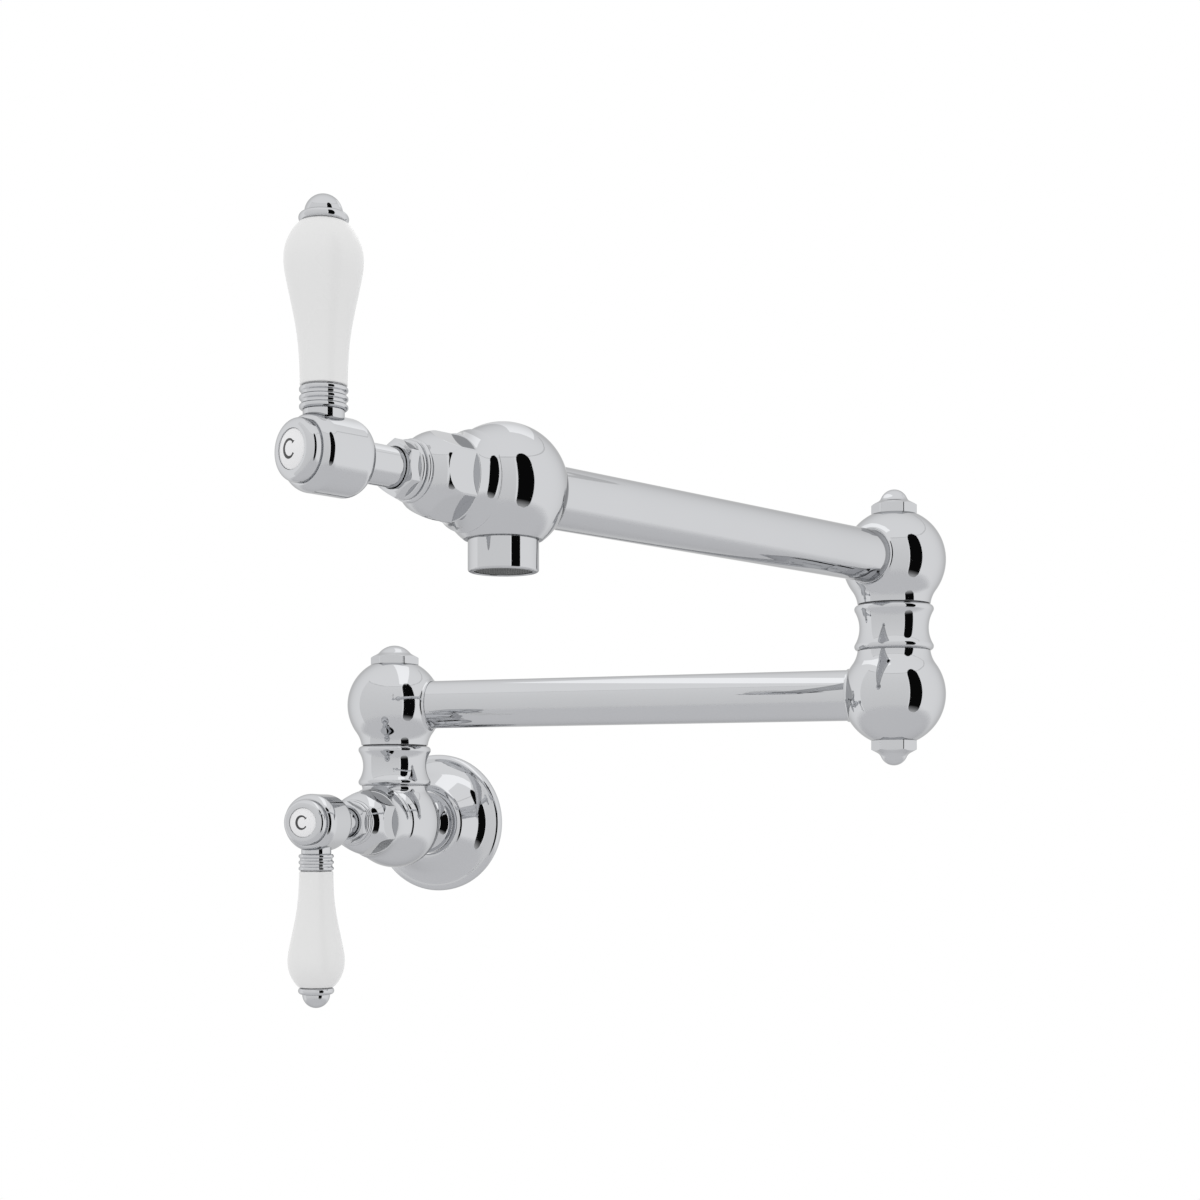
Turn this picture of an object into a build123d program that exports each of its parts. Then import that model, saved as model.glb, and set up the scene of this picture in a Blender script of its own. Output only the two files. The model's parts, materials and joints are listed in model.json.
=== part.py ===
from build123d import *
import math
import os

# Wall-mounted pot filler with two swivel joints and two quarter-turn valves, in millimetres.
# The inlet axis meets the wall at the origin. +Z is up, the wall is the plane Y = 0 and the
# room is on the -Y side. Each valve is measured along its own axis from the centre of its ball.

# Layout
wall_to_swivel = 52.0          # wall to the vertical axis of the swivel
lower_arm_length = 235.0       # swivel axis to elbow axis
upper_arm_length = 235.0       # elbow axis to spout axis
upper_arm_heading = 246.2      # direction of the upper arm at rest, degrees about +Z from +X
fold_clearance = 1.1           # aerator above the swivel cap nut with the arms folded

# Fits
seat_clearance = 0.02          # threaded, pressed and soldered pieces
running_clearance = 0.05       # pieces that turn on each other
stem_clearance = 0.3           # lever stem in the packing nut
trim_clearance = 0.3           # flange round the inlet, porcelain round its rod
cut_margin = 1.0               # how far a cut runs past the metal it removes

# Balls and arm tubes
ball_radius = 22.0
neck_radius = 15.5
neck_drop = 3.2                # ball's pole to a swivel joint's face
neck_flare = -6.5              # slope of a swivel neck's end, degrees outwards from its axis
tube_radius = 11.0
tube_wall = 1.2
tube_lip_wall = 0.45           # ball's lip round the tube
tube_lip_drop = 2.2            # ball's pole to the lip's end
tube_lip_flare = -3.4
socket_wall = 4.0              # metal between a tube's end and the swivel bore
passage_radius = 4.6           # water way from a tube into its ball

# Swivel joints
swivel_collar_height = 18.5
collar_lip_radius = 16.9
collar_lip_height = 1.7
collar_lip_round = 2.0         # rounding between a lip and the waist
collar_waist_radius = 14.75
glide_thickness = 0.4
glide_radius = 14.9
spigot_radius = 7.0
spigot_bore_radius = 4.4
spigot_port_radius = 3.2
spigot_depth = 8.0             # elbow's spigot seated in the lower ball
spigot_foot_gap = 0.25         # swivel's spigot above the wall valve's cartridge
spigot_lip = 1.0               # spigot above its retaining ring
retainer_shelf = 10.6          # ball centre to the shelf under the retaining ring
retainer_radius = 8.1
retainer_thickness = 1.0
retainer_bite = 0.8            # depth of the ring's groove
retainer_float = 0.1           # end play of a swivel
o_ring_cord = 1.4              # seal section as fitted
o_ring_inset = 2.6             # joint face to the first seal
o_ring_pitch = 3.2

# Cap nuts on the balls
cap_plug_gap = 0.5             # cap nut's plug above the spigot
acorn_drop = 2.2               # ball's pole to the flat under an acorn nut
acorn_flats = 17.2
acorn_hex_height = 3.75
acorn_cone_radius = 7.0        # where the cone on the hexagon turns up into the dome
acorn_cone_rise = 1.6
acorn_dome_radius = 5.95
acorn_height = 10.65
acorn_turn = 4.7               # turns of the hexagons at rest, degrees about +Z
swivel_cap_drop = 2.8
swivel_cap_flats = 19.8
swivel_cap_hex_height = 3.1
swivel_cap_cone_radius = 8.4
swivel_cap_cone_rise = 1.6
swivel_cap_dome_radius = 9.5
swivel_cap_height = 8.9
swivel_cap_turn = 18.7

# Wall valve body, inlet and flange
body_radius = 21.0
body_neck_drop = 3.75          # ball's top to the foot of the swivel collar
body_neck_flare = 30.0
body_inlet_drop = 2.6          # ball's back to the shoulder of the inlet union
inlet_neck_radius = 9.6
inlet_flare_radius = 13.1
inlet_flare_length = 3.2
inlet_flare_hollow = 0.17      # how far the flare's side is hollowed
inlet_ring_stand = 0.6         # shank's end in front of the flange
inlet_ring_round = 0.4
inlet_shank_radius = 15.0
inlet_spigot_radius = 9.0
inlet_spigot_wall = 2.5        # metal between the inlet's spigot and the valve seat
inlet_bore_radius = 6.5
inlet_thread_radius = 9.3      # minor radius of a half-inch pipe thread
inlet_thread_length = 15.0
flange_radius = 33.6
flange_rim_height = 1.4        # wall to the start of the rim's round
flange_crease_radius = 30.4    # crease between the rim's round and the cove
flange_crease_height = 4.85
flange_cone_radius = 24.0      # foot of the cone, where the cove starts
flange_cone_height = 9.7
flange_shoulder_radius = 19.1  # head of the cone, where the hub's round starts
flange_shoulder_height = 16.1
flange_hub_land = 0.6          # hub's front face round the inlet
flange_height = 17.5
flange_wall = 2.2

# Valve bonnet and packing nut
valve_face = 17.7              # valve's centre to the joint face between a ball and its bonnet
valve_neck_radius = 16.5
body_face_drop = 1.5           # ball's pole to that face, on the wall valve
body_face_flare = 60.0
spout_face_drop = 4.9          # and on the outlet valve
spout_neck_radius = 15.2
spout_face_flare = 20.5
bonnet_band_radius = 17.1
bonnet_band_length = 7.5
bonnet_barrel_radius = 14.55
bonnet_barrel_length = 5.4
bonnet_dome_length = 10.6
bonnet_front_radius = 9.15
bonnet_flats = 25.6
bonnet_cavity_radius = 10.4
bonnet_front_wall = 3.5
nut_ring_radius = 10.3
nut_ring_root = 9.25
nut_ring_length = 2.2
nut_step_radius = 9.7
nut_step_root = 8.8
nut_step_length = 2.3
nut_flats = 16.6
nut_hex_length = 4.0
nut_chamfer = 0.9

# Cartridge
seat_depth = 6.5               # ball centre back to the valve seat
seat_port_radius = 5.0
gallery_radius = 10.6          # water space round the cartridge
gallery_back = -1.0
gallery_front = 11.0
cartridge_radius = 9.0
cartridge_flange_radius = 12.0
cartridge_flange_length = 3.0
cartridge_stem_radius = 7.0
cartridge_stem_end = 4.7       # cartridge in front of the bonnet
cartridge_port_radius = 2.8
seal_thickness = 2.0
seal_stand = 1.0               # seal proud of the cartridge
disc_radius = 7.5
disc_port_radius = 2.1
disc_port_circle = 4.2
fixed_disc_thickness = 2.5
moving_disc_thickness = 2.7
drive_slot_width = 3.4
drive_slot_depth = 1.2
drive_space = 8.3              # room for water above the discs
spindle_radius = 4.0
spindle_neck_radius = 2.6
spindle_collar_radius = 5.5
spindle_collar_length = 2.0
spindle_square = 5.5
spindle_square_length = 18.0
spindle_ring_cord = 1.2
spindle_ring_height = 28.0

# Lever
stem_radius = 6.5
stem_length = 14.9             # stem in sight between the packing nut and the hub
stem_gap = 0.5                 # stem in front of the cartridge
hub_length = 25.5
hub_radius = 12.3
hub_back_radius = 8.5
hub_back_round = 5.0
hub_shoulder_radius = 10.3
hub_shoulder_round = 4.2
hub_groove_radius = 9.4
hub_groove_width = 0.4
bezel_radius = 9.8
bezel_edge_radius = 7.2
bezel_round = 2.6
bezel_length = 3.7
button_radius = 6.3
button_depth = 2.6
button_crown = 1.35
button_stand = 1.0             # button's middle in front of the bezel
screw_radius = 1.5
screw_length = 14.0
screw_head_radius = 3.4
screw_head_height = 2.6
screw_drive = 3.0              # hexagon socket across flats
screw_web = 2.2                # hub metal under the screw's head
lever_offset = 13.0            # hub's back to the lever's axis
lever_boss_radius = 6.4
lever_boss_height = 13.5       # hub axis to the foot of the ferrule
ferrule_crest_radius = 7.5
ferrule_valley_radius = 6.9
ferrule_bead_length = 2.65
ferrule_crown_length = 1.0     # gently rounded top of one bead
ferrule_crown_rise = 0.085
ferrule_ramp = 0.42            # run of a bead's steep sides along the lever
ferrule_beads = 3
ferrule_neck_radius = 6.5
ferrule_neck_length = 0.3
grip_length = 49.65
grip_base_radius = 7.3
grip_waist_radius = 8.2
grip_waist_height = 15.6
grip_swell_radius = 11.35
grip_swell_height = 31.9
grip_belly_radius = 12.2
grip_belly_height = 38.5
grip_tip_radius = 7.5
finial_bead_radius = 7.7
finial_bead_length = 3.1
finial_dome_radius = 5.95
finial_length = 9.0
rod_radius = 2.5
rod_foot = 5.8                 # hub axis to the rod's inner end
rod_head = 4.6                 # rod inside the finial

# Aerator
aerator_drop = 4.5             # ball's lowest point up to the housing's shoulder
aerator_length = 10.8
aerator_radius = 12.0
aerator_round = 0.8
aerator_mouth_radius = 9.85
aerator_throat_radius = 7.6
aerator_thread_radius = 10.5
aerator_pocket_wall = 2.0      # metal between the cartridge's bore and the aerator's washer
insert_length = 8.0
insert_recess = 0.4            # insert above the housing's mouth
insert_wall = 1.1
insert_floor = 1.2
insert_hole = 1.3
insert_pitch = 1.9
gasket_thickness = 1.5

# Places worked out from the sizes above
UP = Vector(0, 0, 1)
DOWN = Vector(0, 0, -1)
RIGHT = Vector(1, 0, 0)
LEFT = Vector(-1, 0, 0)
OUT = Vector(0, -1, 0)
BACK = Vector(0, 1, 0)
heading = Vector(1, 0, 0).rotate(Axis.Z, upper_arm_heading)

joint_gap = glide_thickness + running_clearance
neck_height = ball_radius - neck_drop
tube_lip_height = ball_radius - tube_lip_drop
acorn_seat = ball_radius - acorn_drop
swivel_cap_seat = ball_radius - swivel_cap_drop
aerator_seat = ball_radius - aerator_drop
spout_face = ball_radius - spout_face_drop
body_neck_height = body_radius - body_neck_drop
body_inlet_face = body_radius - body_inlet_drop
body_face = body_radius - body_face_drop

body_centre = Vector(0, -wall_to_swivel, 0)
lower_arm_height = body_neck_height + swivel_collar_height + joint_gap + neck_height
swivel_centre = body_centre + UP * lower_arm_height
elbow_low_centre = swivel_centre + RIGHT * lower_arm_length
arm_spacing = swivel_cap_seat + swivel_cap_height + fold_clearance + aerator_seat + aerator_length
elbow_collar_height = arm_spacing - 2 * neck_height - joint_gap
elbow_high_centre = elbow_low_centre + UP * arm_spacing
spout_centre = elbow_high_centre + heading * upper_arm_length
body_valve = body_centre + OUT * (body_face - valve_face)
spout_valve = spout_centre + heading * (spout_face - valve_face)

swivel_bore_radius = spigot_radius + running_clearance
tube_seat = swivel_bore_radius + socket_wall
rod_bore_radius = rod_radius + seat_clearance
cap_plug_radius = retainer_radius + trim_clearance
spigot_top = retainer_shelf + retainer_float + retainer_thickness + spigot_lip
flange_hole_radius = inlet_shank_radius + trim_clearance
flange_hub_radius = flange_hole_radius + flange_hub_land

bonnet_shoulder = valve_face + bonnet_band_length
bonnet_dome = bonnet_shoulder + bonnet_barrel_length
bonnet_front = bonnet_dome + bonnet_dome_length
nut_step = bonnet_front + nut_ring_length
nut_hex = nut_step + nut_step_length
nut_front = nut_hex + nut_hex_length
hub_back = nut_front + stem_length
hub_front = hub_back + hub_length
lever_height = hub_back + lever_offset

seal_back = -seat_depth
cartridge_back = seal_back + seal_stand
disc_back = seal_back + seal_thickness
disc_split = disc_back + fixed_disc_thickness
moving_back = disc_split + running_clearance
disc_front = moving_back + moving_disc_thickness
pocket_front = disc_front + drive_space
cartridge_front = bonnet_front + cartridge_stem_end
stem_back = cartridge_front + stem_gap
button_floor = hub_front - button_depth
button_front = hub_front + button_stand
screw_seat = button_floor - screw_head_height - screw_web
spindle_front = screw_seat - screw_web
spindle_bore_radius = spindle_radius + running_clearance

ferrule_foot = lever_boss_height
half_crown = ferrule_crown_length / 2
half_bead = half_crown + ferrule_ramp
crown_edge_radius = ferrule_crest_radius - ferrule_crown_rise
ferrule_neck = ferrule_foot + (ferrule_beads - 1) * ferrule_bead_length + 2 * half_bead
grip_foot = ferrule_neck + ferrule_neck_length
finial_foot = grip_foot + grip_length


def turning_plane(centre, along, out):
    """Plane whose Y runs along a turning axis and whose X points away from that axis."""
    return Plane(origin=centre, x_dir=out, z_dir=out.cross(along))


def turn(plane, *points, mode=Mode.ADD):
    """Turn a straight-sided outline of (radius, height) points about the plane's Y axis."""
    with BuildSketch(plane) as outline:
        with BuildLine():
            Polyline(*points, close=True)
        make_face()
    revolve(outline.sketch, axis=Axis(plane.origin, plane.y_dir), mode=mode)


def turn_round(plane, radius, low, high, mode=Mode.ADD):
    """Turn a plain cylinder from one height to another."""
    turn(plane, (0, low), (radius, low), (radius, high), (0, high), mode=mode)


def turn_ring(plane, inner, outer, low, high, mode=Mode.ADD):
    """Turn a plain ring from one height to another."""
    turn(plane, (inner, low), (outer, low), (outer, high), (inner, high), mode=mode)


def turn_neck(plane, sphere_radius, end_radius, end_height, flare):
    """Cut a sphere flat and turn a neck there, with a cove that touches the sphere smoothly."""
    turn_round(plane, sphere_radius, end_height, sphere_radius, mode=Mode.SUBTRACT)
    end = Vector(end_radius, end_height)
    across = Vector(1, 0).rotate(Axis.Z, -flare)
    cove = (end.length**2 - sphere_radius**2) / (2 * (sphere_radius - end.dot(across)))
    start = (end + across * cove) * (sphere_radius / (sphere_radius + cove))
    with BuildSketch(plane) as outline:
        with BuildLine():
            Line((0, 0), start)
            TangentArc(start, end, tangent=(-start.Y, start.X))
            Polyline(end, (0, end_height), (0, 0))
        make_face()
    revolve(outline.sketch, axis=Axis(plane.origin, plane.y_dir))


def turn_dome(plane, radius, low, tip):
    """Turn a round-topped dome that stands on a circle and ends at its tip."""
    with BuildSketch(plane) as outline:
        with BuildLine():
            TangentArc((0, tip), (radius, low), tangent=(1, 0))
            Polyline((radius, low), (0, low), (0, tip))
        make_face()
    revolve(outline.sketch, axis=Axis(plane.origin, plane.y_dir))


def cut_bell(plane, low, corner, cone_end, dome_radius, tip):
    """Keep what lies in a bell: a cone, a cove that touches it, and a dome that the cove touches."""
    cone_way = (Vector(cone_end) - Vector(corner)).normalized()
    cone_out = Vector(cone_way.Y, -cone_way.X)
    dome_centre = Vector(0, tip - dome_radius)
    above = Vector(cone_end) - dome_centre
    cove = (above.length**2 - dome_radius**2) / (2 * (dome_radius - above.dot(cone_out)))
    touch = (above + cone_out * cove) * (dome_radius / (dome_radius + cove))
    cone_foot = Vector(corner) - cone_way * cut_margin
    with BuildSketch(plane) as outline:
        with BuildLine():
            Polyline((0, tip), (0, low), (cone_foot.X, low), cone_foot, cone_end)
            TangentArc(cone_end, dome_centre + touch, tangent=cone_way)
            TangentArc(dome_centre + touch, (0, tip), tangent=(-touch.Y, touch.X))
        make_face()
    revolve(outline.sketch, axis=Axis(plane.origin, plane.y_dir), mode=Mode.INTERSECT)


def turn_seal(plane, outer, cord, height):
    """Turn a round-section sealing ring of a given outer radius."""
    with BuildSketch(plane) as section:
        with Locations((outer - cord / 2, height)):
            Circle(cord / 2)
    revolve(section.sketch, axis=Axis(plane.origin, plane.y_dir))


def hexagon(plane, height, across_flats, rotation=0):
    """Hexagon square to the plane's Y axis, at a height along it."""
    base = Plane(origin=plane.origin + plane.y_dir * height, x_dir=plane.x_dir, z_dir=plane.y_dir)
    with BuildSketch(base) as outline:
        RegularPolygon(across_flats / 2, 6, major_radius=False, rotation=rotation)
    return outline.sketch


def keep(piece, name):
    """Label a finished piece and write it as a node of its own."""
    piece.part.label = name
    export_step(piece.part, f"parts/{name}.step")


os.makedirs("parts", exist_ok=True)

# Wall flange: a thin bell, open at the back, with a rounded hub, a cone, a cove and a round rim
wall_axis = turning_plane(Vector(0, 0, 0), OUT, RIGHT)
with BuildPart() as wall_flange:
    with BuildSketch(wall_axis) as flange_section:
        with BuildLine():
            Polyline((flange_radius - flange_wall, 0), (flange_radius, 0),
                     (flange_radius, flange_rim_height))
            TangentArc((flange_radius, flange_rim_height),
                       (flange_crease_radius, flange_crease_height), tangent=(0, 1))
            cone = Line((flange_shoulder_radius, flange_shoulder_height),
                        (flange_cone_radius, flange_cone_height))
            TangentArc(cone @ 1, (flange_crease_radius, flange_crease_height), tangent=cone % 1)
            TangentArc((flange_hub_radius, flange_height), cone @ 0, tangent=(1, 0))
            Polyline((flange_hub_radius, flange_height), (flange_hole_radius, flange_height),
                     (flange_hole_radius, flange_height - flange_wall),
                     (flange_shoulder_radius - flange_wall, flange_shoulder_height - flange_wall),
                     (flange_cone_radius - flange_wall, flange_cone_height - flange_wall),
                     (flange_crease_radius - flange_wall, flange_crease_height - flange_wall),
                     (flange_radius - flange_wall, flange_rim_height),
                     (flange_radius - flange_wall, 0))
        make_face()
    revolve(axis=Axis(wall_axis.origin, wall_axis.y_dir))
keep(wall_flange, "wall_flange")

# Inlet union: a threaded shank that fills the flange's hole, a hollow flare and a neck to the ball
inlet_face = wall_to_swivel - body_inlet_face
inlet_ring = flange_height + inlet_ring_stand
inlet_neck = inlet_ring + inlet_flare_length
inlet_seat = seat_depth + valve_face - body_face
inlet_spigot_length = body_inlet_face - inlet_seat - inlet_spigot_wall
flare_way = Vector(inlet_flare_radius - inlet_neck_radius, -inlet_flare_length)
flare_middle = (Vector(inlet_flare_radius, inlet_ring) + Vector(inlet_neck_radius, inlet_neck)) / 2
flare_hollow = flare_way.rotate(Axis.Z, -90).normalized() * inlet_flare_hollow
with BuildPart() as inlet_union:
    with BuildSketch(wall_axis) as union_section:
        with BuildLine():
            Polyline((0, 0), (inlet_shank_radius, 0),
                     (inlet_shank_radius, inlet_ring - inlet_ring_round))
            TangentArc((inlet_shank_radius, inlet_ring - inlet_ring_round),
                       (inlet_shank_radius - inlet_ring_round, inlet_ring), tangent=(0, 1))
            Line((inlet_shank_radius - inlet_ring_round, inlet_ring),
                 (inlet_flare_radius, inlet_ring))
            ThreePointArc((inlet_flare_radius, inlet_ring), flare_middle + flare_hollow,
                          (inlet_neck_radius, inlet_neck))
            Polyline((inlet_neck_radius, inlet_neck), (inlet_neck_radius, inlet_face),
                     (0, inlet_face), (0, 0))
        make_face()
    revolve(axis=Axis(wall_axis.origin, wall_axis.y_dir))
    turn_round(wall_axis, inlet_spigot_radius, inlet_face, inlet_face + inlet_spigot_length)
    turn_round(wall_axis, inlet_thread_radius, 0, inlet_thread_length, mode=Mode.SUBTRACT)
    turn_round(wall_axis, inlet_bore_radius, 0, inlet_face + inlet_spigot_length,
               mode=Mode.SUBTRACT)
keep(inlet_union, "inlet_union")

# Wall valve body: a ball with a front neck for the bonnet and a top neck for the swivel
body_upright = turning_plane(body_centre, UP, RIGHT)
body_axis = turning_plane(body_centre, OUT, DOWN)
body_rear = turning_plane(body_centre, BACK, DOWN)
body_valve_axis = turning_plane(body_valve, OUT, DOWN)
swivel_spigot_foot = cartridge_radius + spigot_foot_gap
with BuildPart() as valve_body:
    with Locations(body_centre):
        Sphere(body_radius)
    turn_neck(body_axis, body_radius, valve_neck_radius, body_face, body_face_flare)
    turn_neck(body_upright, body_radius, neck_radius, body_neck_height, body_neck_flare)
    turn_round(body_rear, body_radius, body_inlet_face, body_radius, mode=Mode.SUBTRACT)
    turn_round(body_rear, inlet_spigot_radius + seat_clearance,
               body_inlet_face - inlet_spigot_length, body_inlet_face, mode=Mode.SUBTRACT)
    turn_round(body_rear, seat_port_radius, inlet_seat, body_inlet_face, mode=Mode.SUBTRACT)
    turn_round(body_valve_axis, cartridge_radius + seat_clearance, seal_back, valve_face,
               mode=Mode.SUBTRACT)
    turn_round(body_valve_axis, gallery_radius, gallery_back, gallery_front, mode=Mode.SUBTRACT)
    turn_round(body_upright, spigot_bore_radius, 0, swivel_spigot_foot, mode=Mode.SUBTRACT)
    turn_round(body_upright, spigot_radius + seat_clearance, swivel_spigot_foot, body_neck_height,
               mode=Mode.SUBTRACT)
keep(valve_body, "valve_body")

# The two swivel joints: a collar, a spigot, two seals, a glide and a retaining ring each
swivel_joints = {
    "swivel": (body_centre + UP * body_neck_height, swivel_collar_height,
               body_neck_height - swivel_spigot_foot),
    "elbow": (elbow_low_centre + UP * neck_height, elbow_collar_height, spigot_depth),
}
for joint, (foot, collar_height, foot_depth) in swivel_joints.items():
    joint_axis = turning_plane(foot, UP, RIGHT)
    ball_face = collar_height + joint_gap
    ball_height = ball_face + neck_height
    ring_low = ball_height + retainer_shelf + retainer_float
    ring_high = ring_low + retainer_thickness
    groove_radius = spigot_radius - retainer_bite
    seal_outer = swivel_bore_radius - seat_clearance
    seal_heights = (ball_face + o_ring_inset, ball_face + o_ring_inset + o_ring_pitch)
    gland_floor = seal_outer - o_ring_cord - seat_clearance
    gland_half = o_ring_cord / 2 + running_clearance

    lip_foot = collar_height / 2 - collar_lip_height
    lip_turn = 2 * math.atan2(collar_lip_radius - collar_waist_radius, lip_foot)
    waist_edge = collar_lip_radius - collar_lip_round * (1 - math.cos(lip_turn))
    waist_foot = collar_lip_height + collar_lip_round * math.sin(lip_turn)
    with BuildPart() as collar:
        with BuildSketch(joint_axis) as collar_section:
            with BuildLine():
                Line((spigot_radius + seat_clearance, 0), (neck_radius, 0))
                TangentArc((collar_lip_radius, collar_lip_height), (neck_radius, 0),
                           tangent=(0, -1))
                TangentArc((collar_lip_radius, collar_lip_height), (waist_edge, waist_foot),
                           tangent=(0, 1))
                ThreePointArc((waist_edge, waist_foot),
                              (collar_waist_radius, collar_height / 2),
                              (waist_edge, collar_height - waist_foot))
                TangentArc((collar_lip_radius, collar_height - collar_lip_height),
                           (waist_edge, collar_height - waist_foot), tangent=(0, -1))
                TangentArc((collar_lip_radius, collar_height - collar_lip_height),
                           (neck_radius, collar_height), tangent=(0, 1))
                Polyline((neck_radius, collar_height),
                         (spigot_radius + seat_clearance, collar_height),
                         (spigot_radius + seat_clearance, 0))
            make_face()
        revolve(axis=Axis(joint_axis.origin, joint_axis.y_dir))
    keep(collar, f"{joint}_collar")

    with BuildPart() as spigot:
        turn_ring(joint_axis, spigot_bore_radius, spigot_radius, -foot_depth,
                  ball_height + spigot_top)
        turn_ring(joint_axis, groove_radius, spigot_radius, ring_low - seat_clearance,
                  ring_high + seat_clearance, mode=Mode.SUBTRACT)
        for seal_height in seal_heights:
            turn_ring(joint_axis, gland_floor, spigot_radius, seal_height - gland_half,
                      seal_height + gland_half, mode=Mode.SUBTRACT)
        for side in (RIGHT, OUT):
            port_axis = turning_plane(foot + UP * ball_height, side, UP)
            turn_round(port_axis, spigot_port_radius, -spigot_radius, spigot_radius,
                       mode=Mode.SUBTRACT)
    keep(spigot, f"{joint}_spigot")

    with BuildPart() as seals:
        for seal_height in seal_heights:
            turn_seal(joint_axis, seal_outer, o_ring_cord, seal_height)
    keep(seals, f"{joint}_o_rings")

    with BuildPart() as glide:
        turn_ring(joint_axis, spigot_radius + seat_clearance, glide_radius, collar_height,
                  collar_height + glide_thickness)
    keep(glide, f"{joint}_glide")

    with BuildPart() as retainer:
        turn_ring(joint_axis, groove_radius + seat_clearance, retainer_radius, ring_low, ring_high)
    keep(retainer, f"{joint}_retainer")

# The two balls that turn on a spigot: the swivel's and the elbow's upper one
turning_balls = {
    "swivel_ball": (swivel_centre, RIGHT, swivel_cap_seat),
    "elbow_upper_ball": (elbow_high_centre, heading, acorn_seat),
}
for name, (centre, tube_way, cap_seat) in turning_balls.items():
    hanging = turning_plane(centre, DOWN, RIGHT)
    tube_axis = turning_plane(centre, tube_way, UP)
    with BuildPart() as ball:
        with Locations(centre):
            Sphere(ball_radius)
        turn_neck(hanging, ball_radius, neck_radius, neck_height, neck_flare)
        turn_neck(tube_axis, ball_radius, tube_radius + tube_lip_wall, tube_lip_height,
                  tube_lip_flare)
        turn_round(hanging, ball_radius, -ball_radius, -cap_seat, mode=Mode.SUBTRACT)
        turn_round(hanging, cap_plug_radius + seat_clearance, -cap_seat, -retainer_shelf,
                   mode=Mode.SUBTRACT)
        turn_round(hanging, swivel_bore_radius, -retainer_shelf, neck_height, mode=Mode.SUBTRACT)
        turn_round(tube_axis, passage_radius, 0, tube_seat, mode=Mode.SUBTRACT)
        turn_round(tube_axis, tube_radius + seat_clearance, tube_seat, tube_lip_height,
                   mode=Mode.SUBTRACT)
    keep(ball, name)

# Lower ball of the elbow: holds the spigot in its neck and the acorn nut below
elbow_standing = turning_plane(elbow_low_centre, UP, RIGHT)
elbow_tube_axis = turning_plane(elbow_low_centre, LEFT, UP)
with BuildPart() as elbow_lower_ball:
    with Locations(elbow_low_centre):
        Sphere(ball_radius)
    turn_neck(elbow_standing, ball_radius, neck_radius, neck_height, neck_flare)
    turn_neck(elbow_tube_axis, ball_radius, tube_radius + tube_lip_wall, tube_lip_height,
              tube_lip_flare)
    turn_round(elbow_standing, ball_radius, -ball_radius, -acorn_seat, mode=Mode.SUBTRACT)
    turn_round(elbow_standing, cap_plug_radius + seat_clearance, -acorn_seat, -retainer_shelf,
               mode=Mode.SUBTRACT)
    turn_round(elbow_standing, spigot_bore_radius, -retainer_shelf, neck_height,
               mode=Mode.SUBTRACT)
    turn_round(elbow_standing, spigot_radius + seat_clearance, neck_height - spigot_depth,
               neck_height, mode=Mode.SUBTRACT)
    turn_round(elbow_tube_axis, passage_radius, 0, tube_seat, mode=Mode.SUBTRACT)
    turn_round(elbow_tube_axis, tube_radius + seat_clearance, tube_seat, tube_lip_height,
               mode=Mode.SUBTRACT)
keep(elbow_lower_ball, "elbow_lower_ball")

# Arm tubes, soldered into the balls at both ends
tubes = {
    "lower_tube": (swivel_centre, RIGHT, lower_arm_length),
    "upper_tube": (elbow_high_centre, heading, upper_arm_length),
}
for name, (centre, tube_way, arm_length) in tubes.items():
    tube_axis = turning_plane(centre, tube_way, UP)
    with BuildPart() as tube:
        turn_ring(tube_axis, tube_radius - tube_wall, tube_radius, tube_seat,
                  arm_length - tube_seat)
    keep(tube, name)

# Cap nuts: two acorn nuts on the elbow and a wider, lower one on the swivel
acorn = (acorn_seat, acorn_flats, acorn_hex_height, acorn_cone_radius, acorn_cone_rise,
         acorn_dome_radius, acorn_height)
low_cap = (swivel_cap_seat, swivel_cap_flats, swivel_cap_hex_height, swivel_cap_cone_radius,
           swivel_cap_cone_rise, swivel_cap_dome_radius, swivel_cap_height)
cap_nuts = {
    "swivel_cap_nut": (swivel_centre, UP, swivel_cap_turn, low_cap),
    "elbow_top_nut": (elbow_high_centre, UP, acorn_turn, acorn),
    "elbow_bottom_nut": (elbow_low_centre, DOWN, -acorn_turn, acorn),
}
for name, (centre, way, cap_turn, cap_sizes) in cap_nuts.items():
    seat, flats, hex_height, cone_radius, cone_rise, dome_radius, height = cap_sizes
    cap_axis = turning_plane(centre, way, RIGHT)
    corner = (flats / math.sqrt(3), seat + hex_height)
    cone_end = (cone_radius, seat + hex_height + cone_rise)
    with BuildPart() as cap_nut:
        extrude(hexagon(cap_axis, seat, flats, cap_turn), amount=height)
        cut_bell(cap_axis, seat, corner, cone_end, dome_radius, seat + height)
        turn_round(cap_axis, cap_plug_radius, spigot_top + cap_plug_gap, seat)
    keep(cap_nut, name)

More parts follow.
